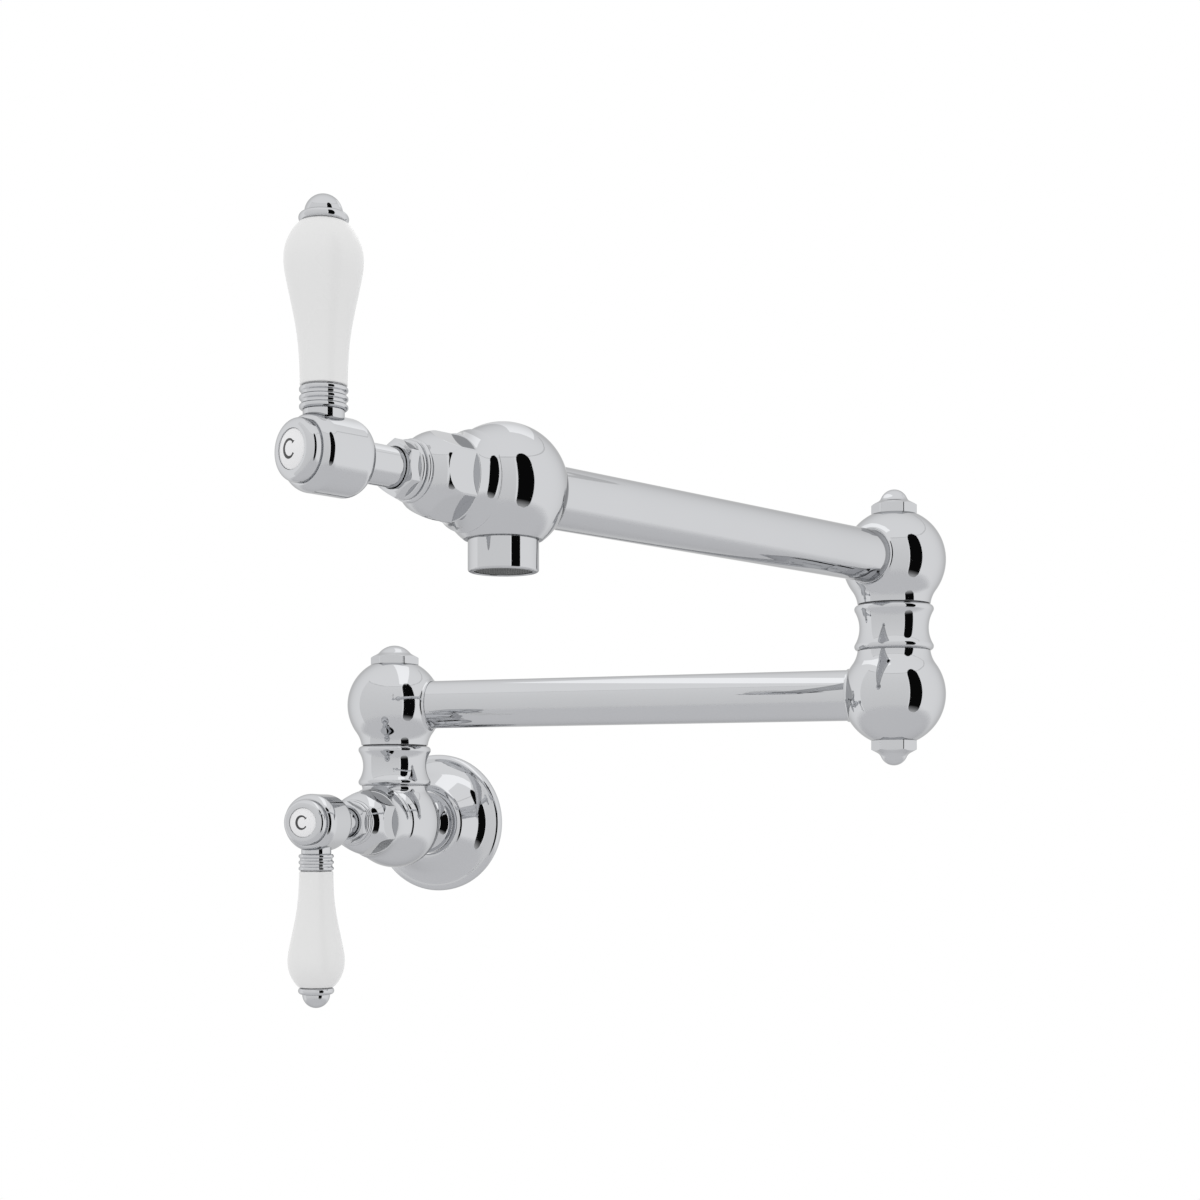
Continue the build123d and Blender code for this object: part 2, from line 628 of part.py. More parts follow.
# Spout ball: outlet valve body with the tube behind, the bonnet in front and the aerator below
spout_axis = turning_plane(spout_centre, heading, UP)
spout_rear = turning_plane(spout_centre, heading * -1, UP)
spout_hanging = turning_plane(spout_centre, DOWN, RIGHT)
spout_valve_axis = turning_plane(spout_valve, heading, UP)
spout_pocket_top = cartridge_radius + aerator_pocket_wall
spout_thread_top = spout_pocket_top + gasket_thickness
with BuildPart() as spout_ball:
    with Locations(spout_centre):
        Sphere(ball_radius)
    turn_neck(spout_axis, ball_radius, spout_neck_radius, spout_face, spout_face_flare)
    turn_neck(spout_rear, ball_radius, tube_radius + tube_lip_wall, tube_lip_height,
              tube_lip_flare)
    turn_round(spout_hanging, ball_radius, aerator_seat, ball_radius, mode=Mode.SUBTRACT)
    turn_round(spout_hanging, aerator_thread_radius + seat_clearance, spout_pocket_top,
               aerator_seat, mode=Mode.SUBTRACT)
    turn_round(spout_hanging, passage_radius, 0, spout_pocket_top, mode=Mode.SUBTRACT)
    turn_round(spout_rear, tube_radius + seat_clearance, tube_seat, tube_lip_height,
               mode=Mode.SUBTRACT)
    turn_round(spout_rear, seat_port_radius, seat_depth + valve_face - spout_face, tube_seat,
               mode=Mode.SUBTRACT)
    turn_round(spout_valve_axis, cartridge_radius + seat_clearance, seal_back, valve_face,
               mode=Mode.SUBTRACT)
    turn_round(spout_valve_axis, gallery_radius, gallery_back, gallery_front, mode=Mode.SUBTRACT)
keep(spout_ball, "spout_ball")

# Aerator: a screwed housing, a perforated insert and the washer above them
aerator_mouth = aerator_seat + aerator_length
insert_low = aerator_mouth - insert_recess
insert_top = insert_low - insert_length
with BuildPart() as aerator_housing:
    turn_round(spout_hanging, aerator_radius, aerator_seat, aerator_mouth)
    rim = aerator_housing.edges().group_by(Axis.Z)[0]
    fillet(rim, aerator_round)
    turn_round(spout_hanging, aerator_thread_radius, spout_thread_top, aerator_seat)
    turn_round(spout_hanging, aerator_throat_radius, spout_thread_top, insert_top,
               mode=Mode.SUBTRACT)
    turn_round(spout_hanging, aerator_mouth_radius, insert_top, aerator_mouth,
               mode=Mode.SUBTRACT)
keep(aerator_housing, "aerator_housing")

insert_radius = aerator_mouth_radius - seat_clearance
insert_clear_radius = insert_radius - insert_wall
hole_reach = insert_clear_radius - insert_hole
hole_rows = range(-int(hole_reach / insert_pitch), int(hole_reach / insert_pitch) + 1)
hole_places = [(i * insert_pitch, j * insert_pitch) for i in hole_rows for j in hole_rows
               if math.hypot(i, j) * insert_pitch <= hole_reach]
with BuildPart() as aerator_insert:
    turn_round(spout_hanging, insert_radius, insert_top, insert_low)
    turn_round(spout_hanging, insert_clear_radius, insert_top, insert_low - insert_floor,
               mode=Mode.SUBTRACT)
    with BuildSketch(Plane(origin=spout_centre + DOWN * insert_low, x_dir=heading, z_dir=UP)):
        with Locations(*hole_places):
            Rectangle(insert_hole, insert_hole)
    extrude(amount=insert_floor, mode=Mode.SUBTRACT)
keep(aerator_insert, "aerator_insert")

with BuildPart() as aerator_gasket:
    turn_ring(spout_hanging, passage_radius + trim_clearance, aerator_thread_radius,
              spout_pocket_top, spout_thread_top)
keep(aerator_gasket, "aerator_gasket")

# The two valves are alike: a bonnet, a packing nut, a disc cartridge and a lever each
valves = {
    "wall": (body_valve, OUT, DOWN),
    "outlet": (spout_valve, heading, UP),
}
for valve, (centre, along, lever_way) in valves.items():
    axis_plane = turning_plane(centre, along, lever_way)
    lever_origin = centre + along * lever_height
    lever_plane = turning_plane(lever_origin, lever_way, along)
    side_way = along.cross(lever_way)
    turning_axis = Axis(axis_plane.origin, axis_plane.y_dir)

    # Bonnet: a hollow band, then a domed barrel with six wrench flats
    with BuildPart() as bonnet:
        with BuildSketch(axis_plane) as bonnet_section:
            with BuildLine():
                Line((0, valve_face), (bonnet_band_radius, valve_face))
                TangentArc((bonnet_barrel_radius, bonnet_shoulder),
                           (bonnet_band_radius, valve_face), tangent=(0, -1))
                Line((bonnet_barrel_radius, bonnet_shoulder), (bonnet_barrel_radius, bonnet_dome))
                TangentArc((bonnet_barrel_radius, bonnet_dome),
                           (bonnet_front_radius, bonnet_front), tangent=(0, 1))
                Polyline((bonnet_front_radius, bonnet_front), (0, bonnet_front), (0, valve_face))
            make_face()
        revolve(axis=turning_axis)
        with BuildSketch(Plane(origin=centre + along * bonnet_shoulder, x_dir=lever_way,
                               z_dir=along)):
            Circle(bonnet_band_radius)
            RegularPolygon(bonnet_flats / 2, 6, major_radius=False, mode=Mode.SUBTRACT)
        extrude(amount=bonnet_front - bonnet_shoulder, mode=Mode.SUBTRACT)
        turn_round(axis_plane, cartridge_flange_radius + seat_clearance, valve_face,
                   valve_face + cartridge_flange_length, mode=Mode.SUBTRACT)
        turn_round(axis_plane, bonnet_cavity_radius, valve_face,
                   bonnet_front - bonnet_front_wall, mode=Mode.SUBTRACT)
        turn_round(axis_plane, cartridge_stem_radius + seat_clearance, valve_face, bonnet_front,
                   mode=Mode.SUBTRACT)
    keep(bonnet, f"{valve}_bonnet")

    # Packing nut: two beads and a chamfered hexagon
    nut_corner = nut_flats / math.sqrt(3)
    nut_beads = ((bonnet_front, nut_ring_root, nut_ring_radius, nut_ring_length),
                 (nut_step, nut_step_root, nut_step_radius, nut_step_length))
    with BuildPart() as packing_nut:
        for low, root, crest, length in nut_beads:
            with BuildSketch(axis_plane) as bead_section:
                with BuildLine():
                    Line((0, low), (root, low))
                    ThreePointArc((root, low), (crest, low + length / 2), (root, low + length))
                    Polyline((root, low + length), (0, low + length), (0, low))
                make_face()
            revolve(bead_section.sketch, axis=turning_axis)
        extrude(hexagon(axis_plane, nut_hex, nut_flats), amount=nut_hex_length)
        turn(axis_plane, (nut_corner, nut_front - nut_chamfer), (nut_corner + cut_margin, nut_front),
             (nut_corner - 2 * nut_chamfer, nut_front), mode=Mode.SUBTRACT)
        turn_round(axis_plane, stem_radius + stem_clearance, cartridge_front, nut_front,
                   mode=Mode.SUBTRACT)
        turn_round(axis_plane, cartridge_stem_radius + seat_clearance, bonnet_front,
                   cartridge_front, mode=Mode.SUBTRACT)
    keep(packing_nut, f"{valve}_packing_nut")

    # Cartridge: clamped by its flange, with a pocket for the discs and four side ports
    with BuildPart() as cartridge:
        turn_round(axis_plane, cartridge_radius, cartridge_back, valve_face)
        turn_round(axis_plane, cartridge_flange_radius, valve_face,
                   valve_face + cartridge_flange_length)
        turn_round(axis_plane, cartridge_stem_radius, valve_face + cartridge_flange_length,
                   cartridge_front)
        turn_round(axis_plane, disc_radius + running_clearance, cartridge_back, pocket_front,
                   mode=Mode.SUBTRACT)
        turn_round(axis_plane, spindle_bore_radius, pocket_front, cartridge_front,
                   mode=Mode.SUBTRACT)
        for way in (lever_way, side_way):
            port_axis = turning_plane(centre + along * (disc_front + drive_space / 2), way, along)
            turn_round(port_axis, cartridge_port_radius, -cartridge_radius, cartridge_radius,
                       mode=Mode.SUBTRACT)
    keep(cartridge, f"{valve}_cartridge")

    with BuildPart() as seat_seal:
        turn_ring(axis_plane, seat_port_radius, disc_radius, seal_back, disc_back)
    keep(seat_seal, f"{valve}_seat_seal")

    # Ceramic discs: the ports of the two are a quarter turn apart when the valve is shut
    with BuildPart() as fixed_disc:
        turn_round(axis_plane, disc_radius, disc_back, disc_split)
        with BuildSketch(Plane(origin=centre + along * disc_back, x_dir=lever_way, z_dir=along)):
            with PolarLocations(disc_port_circle, 2):
                Circle(disc_port_radius)
        extrude(amount=fixed_disc_thickness, mode=Mode.SUBTRACT)
    keep(fixed_disc, f"{valve}_fixed_disc")

    with BuildPart() as moving_disc:
        turn_round(axis_plane, disc_radius, moving_back, disc_front)
        with BuildSketch(Plane(origin=centre + along * moving_back, x_dir=side_way, z_dir=along)):
            with PolarLocations(disc_port_circle, 2):
                Circle(disc_port_radius)
        extrude(amount=moving_disc_thickness, mode=Mode.SUBTRACT)
        with BuildSketch(Plane(origin=centre + along * disc_front, x_dir=lever_way, z_dir=along)):
            Rectangle(2 * disc_radius, drive_slot_width)
        extrude(amount=-drive_slot_depth, mode=Mode.SUBTRACT)
    keep(moving_disc, f"{valve}_moving_disc")

    # Spindle: a drive bar in the disc's slot, a thrust collar, a sealed shaft and a square end
    ring_outer = spindle_bore_radius - seat_clearance
    ring_floor = ring_outer - spindle_ring_cord - seat_clearance
    ring_half = spindle_ring_cord / 2 + running_clearance
    bar_back = disc_front - drive_slot_depth + seat_clearance
    collar_front = pocket_front - retainer_float
    square_back = spindle_front - spindle_square_length
    with BuildPart() as spindle:
        with BuildSketch(Plane(origin=centre + along * bar_back, x_dir=lever_way, z_dir=along)):
            Rectangle(2 * (disc_radius - disc_port_radius), drive_slot_width - 2 * seat_clearance)
        extrude(amount=2 * drive_slot_depth)
        turn_round(axis_plane, spindle_neck_radius, disc_front + seat_clearance, collar_front)
        turn_round(axis_plane, spindle_collar_radius, collar_front - spindle_collar_length,
                   collar_front)
        turn_round(axis_plane, spindle_radius, collar_front, square_back)
        with BuildSketch(Plane(origin=centre + along * square_back, x_dir=lever_way,
                               z_dir=along)):
            Rectangle(spindle_square, spindle_square)
        extrude(amount=spindle_square_length)
        turn_ring(axis_plane, ring_floor, spindle_radius, spindle_ring_height - ring_half,
                  spindle_ring_height + ring_half, mode=Mode.SUBTRACT)
        turn_round(axis_plane, screw_radius + seat_clearance, screw_seat - screw_length,
                   spindle_front, mode=Mode.SUBTRACT)
    keep(spindle, f"{valve}_spindle")

    with BuildPart() as spindle_o_ring:
        turn_seal(axis_plane, ring_outer, spindle_ring_cord, spindle_ring_height)
    keep(spindle_o_ring, f"{valve}_spindle_o_ring")

    # Lever hub: a stem, a barrel rounded at both ends and a bezel round the button
    barrel_back = hub_back + hub_back_round
    bezel_back = hub_front - bezel_length
    shoulder_front = bezel_back - hub_groove_width
    barrel_front = shoulder_front - hub_shoulder_round
    with BuildPart() as lever_hub:
        with BuildSketch(axis_plane) as hub_section:
            with BuildLine():
                Polyline((0, hub_front), (0, stem_back), (stem_radius, stem_back),
                         (stem_radius, hub_back), (hub_back_radius, hub_back))
                TangentArc((hub_radius, barrel_back), (hub_back_radius, hub_back),
                           tangent=(0, -1))
                Line((hub_radius, barrel_back), (hub_radius, barrel_front))
                TangentArc((hub_radius, barrel_front), (hub_shoulder_radius, shoulder_front),
                           tangent=(0, 1))
                Polyline((hub_shoulder_radius, shoulder_front),
                         (hub_groove_radius, shoulder_front), (hub_groove_radius, bezel_back),
                         (bezel_radius, bezel_back), (bezel_radius, hub_front - bezel_round))
                TangentArc((bezel_radius, hub_front - bezel_round),
                           (bezel_edge_radius, hub_front), tangent=(0, 1))
                Line((bezel_edge_radius, hub_front), (0, hub_front))
            make_face()
        revolve(axis=turning_axis)
        turn_round(lever_plane, lever_boss_radius, rod_foot, lever_boss_height)
        turn_round(axis_plane, button_radius + seat_clearance, button_floor, hub_front,
                   mode=Mode.SUBTRACT)
        turn_round(axis_plane, screw_head_radius + trim_clearance, screw_seat, button_floor,
                   mode=Mode.SUBTRACT)
        turn_round(axis_plane, screw_radius + trim_clearance, spindle_front, screw_seat,
                   mode=Mode.SUBTRACT)
        turn_round(axis_plane, spindle_radius + seat_clearance, stem_back, square_back,
                   mode=Mode.SUBTRACT)
        with BuildSketch(Plane(origin=centre + along * square_back, x_dir=lever_way,
                               z_dir=along)):
            Rectangle(spindle_square + 2 * seat_clearance, spindle_square + 2 * seat_clearance)
        extrude(amount=spindle_square_length + seat_clearance, mode=Mode.SUBTRACT)
        turn_round(lever_plane, rod_bore_radius, rod_foot - seat_clearance, lever_boss_height,
                   mode=Mode.SUBTRACT)
    keep(lever_hub, f"{valve}_lever_hub")

    with BuildPart() as hub_screw:
        turn_round(axis_plane, screw_radius, screw_seat - screw_length + seat_clearance, screw_seat)
        turn_round(axis_plane, screw_head_radius, screw_seat, screw_seat + screw_head_height)
        extrude(hexagon(axis_plane, screw_seat + screw_head_height, screw_drive),
                amount=-screw_head_height / 2, mode=Mode.SUBTRACT)
    keep(hub_screw, f"{valve}_hub_screw")

    with BuildPart() as index_button:
        turn_round(axis_plane, button_radius, button_floor, button_front - button_crown)
        turn_dome(axis_plane, button_radius, button_front - button_crown, button_front)
    keep(index_button, f"{valve}_index_button")

    # Lever: ferrule, porcelain grip and finial threaded on one rod
    with BuildPart() as ferrule:
        with BuildSketch(lever_plane) as ferrule_section:
            with BuildLine():
                for bead in range(ferrule_beads):
                    middle = ferrule_foot + half_bead + bead * ferrule_bead_length
                    if bead:
                        Line((ferrule_valley_radius, middle - ferrule_bead_length + half_bead),
                             (ferrule_valley_radius, middle - half_bead))
                    Line((ferrule_valley_radius, middle - half_bead),
                         (crown_edge_radius, middle - half_crown))
                    ThreePointArc((crown_edge_radius, middle - half_crown),
                                  (ferrule_crest_radius, middle),
                                  (crown_edge_radius, middle + half_crown))
                    Line((crown_edge_radius, middle + half_crown),
                         (ferrule_valley_radius, middle + half_bead))
                Polyline((ferrule_valley_radius, ferrule_neck), (ferrule_neck_radius, ferrule_neck),
                         (ferrule_neck_radius, grip_foot), (rod_bore_radius, grip_foot),
                         (rod_bore_radius, ferrule_foot), (ferrule_valley_radius, ferrule_foot))
            make_face()
        revolve(axis=Axis(lever_plane.origin, lever_plane.y_dir))
    keep(ferrule, f"{valve}_lever_ferrule")

    grip_bore_radius = rod_radius + trim_clearance
    with BuildPart() as grip:
        with BuildSketch(lever_plane) as grip_section:
            with BuildLine():
                Line((grip_bore_radius, grip_foot), (grip_base_radius, grip_foot))
                Spline((grip_base_radius, grip_foot),
                       (grip_waist_radius, grip_foot + grip_waist_height),
                       (grip_swell_radius, grip_foot + grip_swell_height),
                       (grip_belly_radius, grip_foot + grip_belly_height),
                       tangents=[(0, 1), (0, 1)])
                TangentArc((grip_belly_radius, grip_foot + grip_belly_height),
                           (grip_tip_radius, finial_foot), tangent=(0, 1))
                Polyline((grip_tip_radius, finial_foot), (grip_bore_radius, finial_foot),
                         (grip_bore_radius, grip_foot))
            make_face()
        revolve(axis=Axis(lever_plane.origin, lever_plane.y_dir))
    keep(grip, f"{valve}_grip")

    finial_step = finial_foot + finial_bead_length
    finial_bead_root = finial_bead_radius - finial_bead_length / 2
    with BuildPart() as finial:
        with BuildSketch(lever_plane) as finial_section:
            with BuildLine():
                Line((0, finial_foot), (finial_bead_root, finial_foot))
                ThreePointArc((finial_bead_root, finial_foot),
                              (finial_bead_radius, finial_foot + finial_bead_length / 2),
                              (finial_bead_root, finial_step))
                Line((finial_bead_root, finial_step), (finial_dome_radius, finial_step))
                TangentArc((0, finial_foot + finial_length), (finial_dome_radius, finial_step),
                           tangent=(1, 0))
                Line((0, finial_foot + finial_length), (0, finial_foot))
            make_face()
        revolve(axis=Axis(lever_plane.origin, lever_plane.y_dir))
        turn_round(lever_plane, rod_bore_radius, finial_foot,
                   finial_foot + rod_head + seat_clearance, mode=Mode.SUBTRACT)
    keep(finial, f"{valve}_lever_finial")

    with BuildPart() as lever_rod:
        turn_round(lever_plane, rod_radius, rod_foot, finial_foot + rod_head)
    keep(lever_rod, f"{valve}_lever_rod")

print("lower arm at", round(lower_arm_height, 2), "upper arm", round(arm_spacing, 2), "above it")
print("elbow collar", round(elbow_collar_height, 2), "hub front", round(hub_front, 2))
print("aerator holes", len(hole_places))
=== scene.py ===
# %% [markdown]
# A pot filler is a cold tap on the wall above a stove. Two arms fold on two swivels, one valve
# sits at the wall and one at the spout, and each is worked by a lever with a porcelain grip.
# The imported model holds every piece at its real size, so it is loaded first, as a fixed frame.
# It could be rendered as it is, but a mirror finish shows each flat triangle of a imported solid.
# So the polished pieces are worked out again here as smooth surfaces, in the same place.

# %% Load the frame
import bmesh
import bpy
import json
import numpy as np
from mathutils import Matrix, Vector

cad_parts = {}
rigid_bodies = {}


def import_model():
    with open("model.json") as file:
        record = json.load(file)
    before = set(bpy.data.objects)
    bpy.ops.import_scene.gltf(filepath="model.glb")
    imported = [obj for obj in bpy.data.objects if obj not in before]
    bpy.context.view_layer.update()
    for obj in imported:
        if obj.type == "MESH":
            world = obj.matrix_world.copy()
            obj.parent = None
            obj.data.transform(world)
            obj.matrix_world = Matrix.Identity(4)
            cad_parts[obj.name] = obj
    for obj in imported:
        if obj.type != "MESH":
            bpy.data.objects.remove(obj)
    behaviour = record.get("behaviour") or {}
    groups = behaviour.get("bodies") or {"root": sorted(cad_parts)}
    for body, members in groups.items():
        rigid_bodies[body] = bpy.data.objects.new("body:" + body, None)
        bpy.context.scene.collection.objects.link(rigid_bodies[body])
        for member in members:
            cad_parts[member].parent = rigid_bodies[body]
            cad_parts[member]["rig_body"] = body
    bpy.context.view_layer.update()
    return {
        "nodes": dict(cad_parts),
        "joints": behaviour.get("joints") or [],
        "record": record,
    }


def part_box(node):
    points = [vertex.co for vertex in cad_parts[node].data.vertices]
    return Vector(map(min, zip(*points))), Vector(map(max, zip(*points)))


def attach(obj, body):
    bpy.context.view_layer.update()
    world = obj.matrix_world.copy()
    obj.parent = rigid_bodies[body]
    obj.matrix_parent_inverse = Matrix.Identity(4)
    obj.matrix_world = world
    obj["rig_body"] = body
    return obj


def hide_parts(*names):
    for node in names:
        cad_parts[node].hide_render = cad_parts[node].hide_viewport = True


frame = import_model()
joints = {joint["name"]: joint for joint in frame["joints"]}
slot_of = {part["node"]: part["material_slot"] for part in frame["record"]["subparts"]}

# %% [markdown]
# Every piece of this tap is turned about some axis, as on a lathe. All that has to be known is
# where those axes stand. They could be typed in, but the joints of the frame already tell: the two
# swivels stand upright, and each lever turns about its valve's axis.

# %% Axes and centres, from the joints
MM = 0.001
UP = np.array((0.0, 0.0, 1.0))
RIGHT = np.array((1.0, 0.0, 0.0))
WALL_OUT = np.array((0.0, -1.0, 0.0))


def joint_at(name):
    """Centre and axis of a joint, in metres and as a unit vector."""
    axis = np.array(joints[name]["axis"], float)
    return np.array(joints[name]["pos_m"], float), axis / np.linalg.norm(axis)


swivel_centre, _ = joint_at("arm_swivel")
elbow_middle, _ = joint_at("elbow_swivel")
body_centre, body_way = joint_at("wall_lever_turn")
spout_centre, spout_way = joint_at("outlet_lever_turn")
elbow_low = np.array((elbow_middle[0], elbow_middle[1], swivel_centre[2]))
elbow_high = np.array((elbow_middle[0], elbow_middle[1], spout_centre[2]))
arm_reach = np.linalg.norm(elbow_low - swivel_centre) / MM
arm_rise = (spout_centre - swivel_centre)[2] / MM
print("arm", round(arm_reach, 1), "mm, upper arm", round(arm_rise, 1), "mm higher")

# %% [markdown]
# A turned piece starts as half of its section: a line of (radius, height) points. Curves could be
# drawn by hand in the viewport, but a turner works from radii, so the line is put together from
# straight runs, arcs and one kind of smooth curve. Polishing always rounds a corner a little, and
# that thin bright edge is what makes metal look real, so every sharp corner is eased.

# %% Runs, arcs and eased corners
SHARP_TURN = np.radians(25)
POINT_PITCH = 0.7
SAME_POINT = 1e-4
EASE_STEPS = 7
FINE_EASE, EDGE_EASE, SOFT_EASE = 0.12, 0.15, 0.2


def run(*points):
    """Straight run through (radius, height) points."""
    return np.array(points, float)


def arc(start, end, leaving, count=24):
    """Arc from start to end that leaves start along a direction. Its centre lies square to that
    direction, at the chord squared over twice the chord's offset."""
    start, end, leaving = (np.array(each, float) for each in (start, end, leaving))
    leaving = leaving / np.linalg.norm(leaving)
    square = np.array((-leaving[1], leaving[0]))
    chord = end - start
    centre = start + square * (chord @ chord) / (2 * chord @ square)
    angle = np.linspace(0, 2 * np.arctan2(chord @ square, chord @ leaving), count)[:, None]
    spoke = start - centre
    return centre + np.cos(angle) * spoke + np.sin(angle) * np.array((-spoke[1], spoke[0]))


def bulge(start, end, rise, count=24):
    """Arc from start to end that stands a given rise out of its chord, to the right of its way.
    It leaves the chord at twice the angle whose tangent is the rise over half the chord."""
    way = np.subtract(end, start)
    lean = 2 * np.arctan2(rise, np.linalg.norm(way) / 2)
    turned_way = np.cos(lean) * way + np.sin(lean) * np.array((way[1], -way[0]))
    return arc(start, end, turned_way, count)


def smooth_curve(points, first, last, count=24):
    """Curve through points with an even bend: one cubic per span, whose slopes at the points solve
    a linear system that makes the second derivatives agree, with given ways at both ends."""
    points = np.array(points, float)
    span = np.linalg.norm(np.diff(points, axis=0), axis=1)
    system = np.eye(len(points))
    slope = np.zeros_like(points)
    slope[0], slope[-1] = first / np.linalg.norm(first), last / np.linalg.norm(last)
    for i in range(1, len(points) - 1):
        before, after = span[i - 1], span[i]
        system[i, i - 1:i + 2] = after, 2 * (before + after), before
        slope[i] = 3 * (after / before * (points[i] - points[i - 1])
                        + before / after * (points[i + 1] - points[i]))
    slope = np.linalg.solve(system, slope)
    t = np.linspace(0, 1, count)[:, None]
    return np.vstack([
        (1 + 2 * t) * (1 - t)**2 * points[i] + t * (1 - t)**2 * span[i] * slope[i]
        + t**2 * (3 - 2 * t) * points[i + 1] + t**2 * (t - 1) * span[i] * slope[i + 1]
        for i in range(len(span))])


def outline(*runs, ease=0.25):
    """Section line in millimetres, from runs laid end to end. Within `ease` of a sharp corner it
    is a parabola, (1-t)^2 a + 2t(1-t) corner + t^2 b. Long runs are filled with points, so that
    the rounding beside a flat face doesn't bend its shading."""
    line = np.vstack(runs)
    line = line[np.r_[True, np.linalg.norm(np.diff(line, axis=0), axis=1) > SAME_POINT]]
    way = np.diff(line, axis=0)
    reach = np.r_[0, np.cumsum(np.linalg.norm(way, axis=1))]
    turns = np.abs(np.diff(np.unwrap(np.arctan2(way[:, 1], way[:, 0]))))
    corners = reach[1:-1][turns > SHARP_TURN]

    def at(station):
        return np.column_stack([np.interp(station, reach, line[:, k]) for k in (0, 1)])

    stations = np.unique(np.r_[reach, np.arange(0, reach[-1], POINT_PITCH)])
    stations = stations[np.r_[True, np.diff(stations) > SAME_POINT]]
    clear = np.abs(stations[:, None] - corners).min(axis=1, initial=np.inf) > ease
    t = np.linspace(0, 1, EASE_STEPS)[:, None]
    eased = [(1 - t)**2 * at(c - ease) + 2 * t * (1 - t) * at(c) + t**2 * at(c + ease) for c in corners]
    order = np.r_[stations[clear], (corners[:, None] + ease * (2 * t.T - 1)).ravel()]
    points = np.vstack([at(stations[clear])] + eased)
    return points[np.argsort(order, kind="stable")]


sample = outline(run((0, 0), (10, 0), (10, 5), (0, 5)))
print("a plain disc's section has", len(sample), "points after easing")

# %% [markdown]
# The section is then carried round its axis. Blender's Screw modifier or a spin could do it, but
# a grid of two parameters says it in one line of arrays, and it can be bent: for a hexagon the
# radius is cut back to a rounded hexagon's, and the columns of the grid gather along the edge of
# each flat, which keeps that edge as fine as on a milled and polished nut.

# %% Turned and flatted surfaces
ROUND_STEPS = 160
FLAT_COUNT = 6
FLAT_STEPS, LAND_STEPS, PROBE_STEPS = 16, 4, 600


def turned(line, centre, along, out, steps=ROUND_STEPS):
    """point(u, v) = centre + h(u) along + r(u) (cos v out + sin v side), where (r, h) is the
    section at u, v goes once round and side is square to both along and out."""
    v = np.linspace(0, 2 * np.pi, steps, endpoint=False)
    spokes = np.outer(np.cos(v), out) + np.outer(np.sin(v), np.cross(along, out))
    return centre + MM * (line[:, 1, None, None] * along + line[:, 0, None, None] * spokes)


def flatted(line, centre, along, out, flats, turn, corner_round):
    """As turned, with the radius cut to a rounded hexagon's. At an angle a from the middle of a flat
    that is half the flats over cos(a), and near a corner the far side of the corner's own circle.
    `turn` puts the middle of a flat at that angle from out."""
    half, sector = flats / 2, np.pi / FLAT_COUNT
    pivot = (half - corner_round) / np.cos(sector)
    flat_end = np.arctan((half - corner_round) * np.tan(sector) / half)

    def hexagon(a):
        off = sector - np.abs(a)
        rounded = np.maximum(corner_round**2 - (pivot * np.sin(off))**2, 0)
        return np.where(np.abs(a) < flat_end, half / np.cos(a), pivot * np.cos(off) + np.sqrt(rounded))

    probe = np.linspace(0, sector, PROBE_STEPS)
    edge = np.interp(line[:, :1], hexagon(probe), probe)
    flat_part = edge * (1 - np.linspace(1, 0, FLAT_STEPS)**3)
    round_part = edge + (sector - edge) * np.linspace(0, 1, LAND_STEPS)[1:]
    side_half = np.hstack((flat_part, round_part))
    one_side = np.hstack((-side_half[:, :0:-1], side_half[:, :-1]))
    a = np.tile(one_side, FLAT_COUNT)
    v = a + turn + np.repeat(np.arange(FLAT_COUNT) * 2 * sector, one_side.shape[1])
    radius = np.minimum(line[:, :1], hexagon(a))
    spokes = np.cos(v)[..., None] * out + np.sin(v)[..., None] * np.cross(along, out)
    return centre + MM * (line[:, 1, None, None] * along + radius[..., None] * spokes)


print("turned sample", turned(sample, swivel_centre, UP, RIGHT).shape)

# %% [markdown]
# Grids become meshes in one place. A section that ends on its axis, or comes back to its first
# point, gives doubled vertices there, and merging those closes the poles and seams. A closed shell
# has a signed volume, and where that is negative the faces are turned round to point outwards.
# Sharp edges are marked by angle, so that eased corners shade smoothly and hexagons stay crisp.

# %% From grids to pieces that ride on the frame
MERGE = 2e-7
CREASE = np.radians(32)
finishes = {}


def shell_faces(grid, start):
    """Quads of a grid whose columns close on themselves, wound so that the shell's volume,
    the sum of a . (b x c) / 6 over its triangles, is positive."""
    index = start + np.arange(grid.shape[0] * grid.shape[1]).reshape(grid.shape[:2])
    beside = np.roll(index, -1, axis=1)
    quads = np.stack((index[:-1], beside[:-1], beside[1:], index[1:]), axis=-1).reshape(-1, 4)
    a, b, c, d = (grid.reshape(-1, 3)[quads[:, k] - start] for k in range(4))
    volume = np.sum(a * np.cross(b, c)) + np.sum(a * np.cross(c, d))
    return quads if volume > 0 else quads[:, ::-1]


def mesh_of(name, grids):
    """Mesh of one or more closed shells, with doubled points merged and sharp edges marked."""
    starts = np.cumsum([0] + [grid[..., 0].size for grid in grids])
    points = np.vstack([grid.reshape(-1, 3) for grid in grids])
    quads = np.vstack([shell_faces(grid, start) for grid, start in zip(grids, starts)])
    mesh = bpy.data.meshes.new(name)
    mesh.from_pydata(points, (), quads)
    work = bmesh.new()
    work.from_mesh(mesh)
    bmesh.ops.remove_doubles(work, verts=work.verts, dist=MERGE)
    work.to_mesh(mesh)
    work.free()
    mesh.shade_smooth()
    mesh.set_sharp_from_angle(angle=CREASE)
    return mesh


def piece(name, body, slot, *grids, stands_for=None):
    """Put a piece on a body of the frame, with its finish, and let it stand for a node."""
    item = bpy.data.objects.new(name, mesh_of(name, grids))
    bpy.context.scene.collection.objects.link(item)
    item.data.materials.append(finishes[slot])
    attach(item, body)
    if stands_for:
        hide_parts(stands_for)
    return item


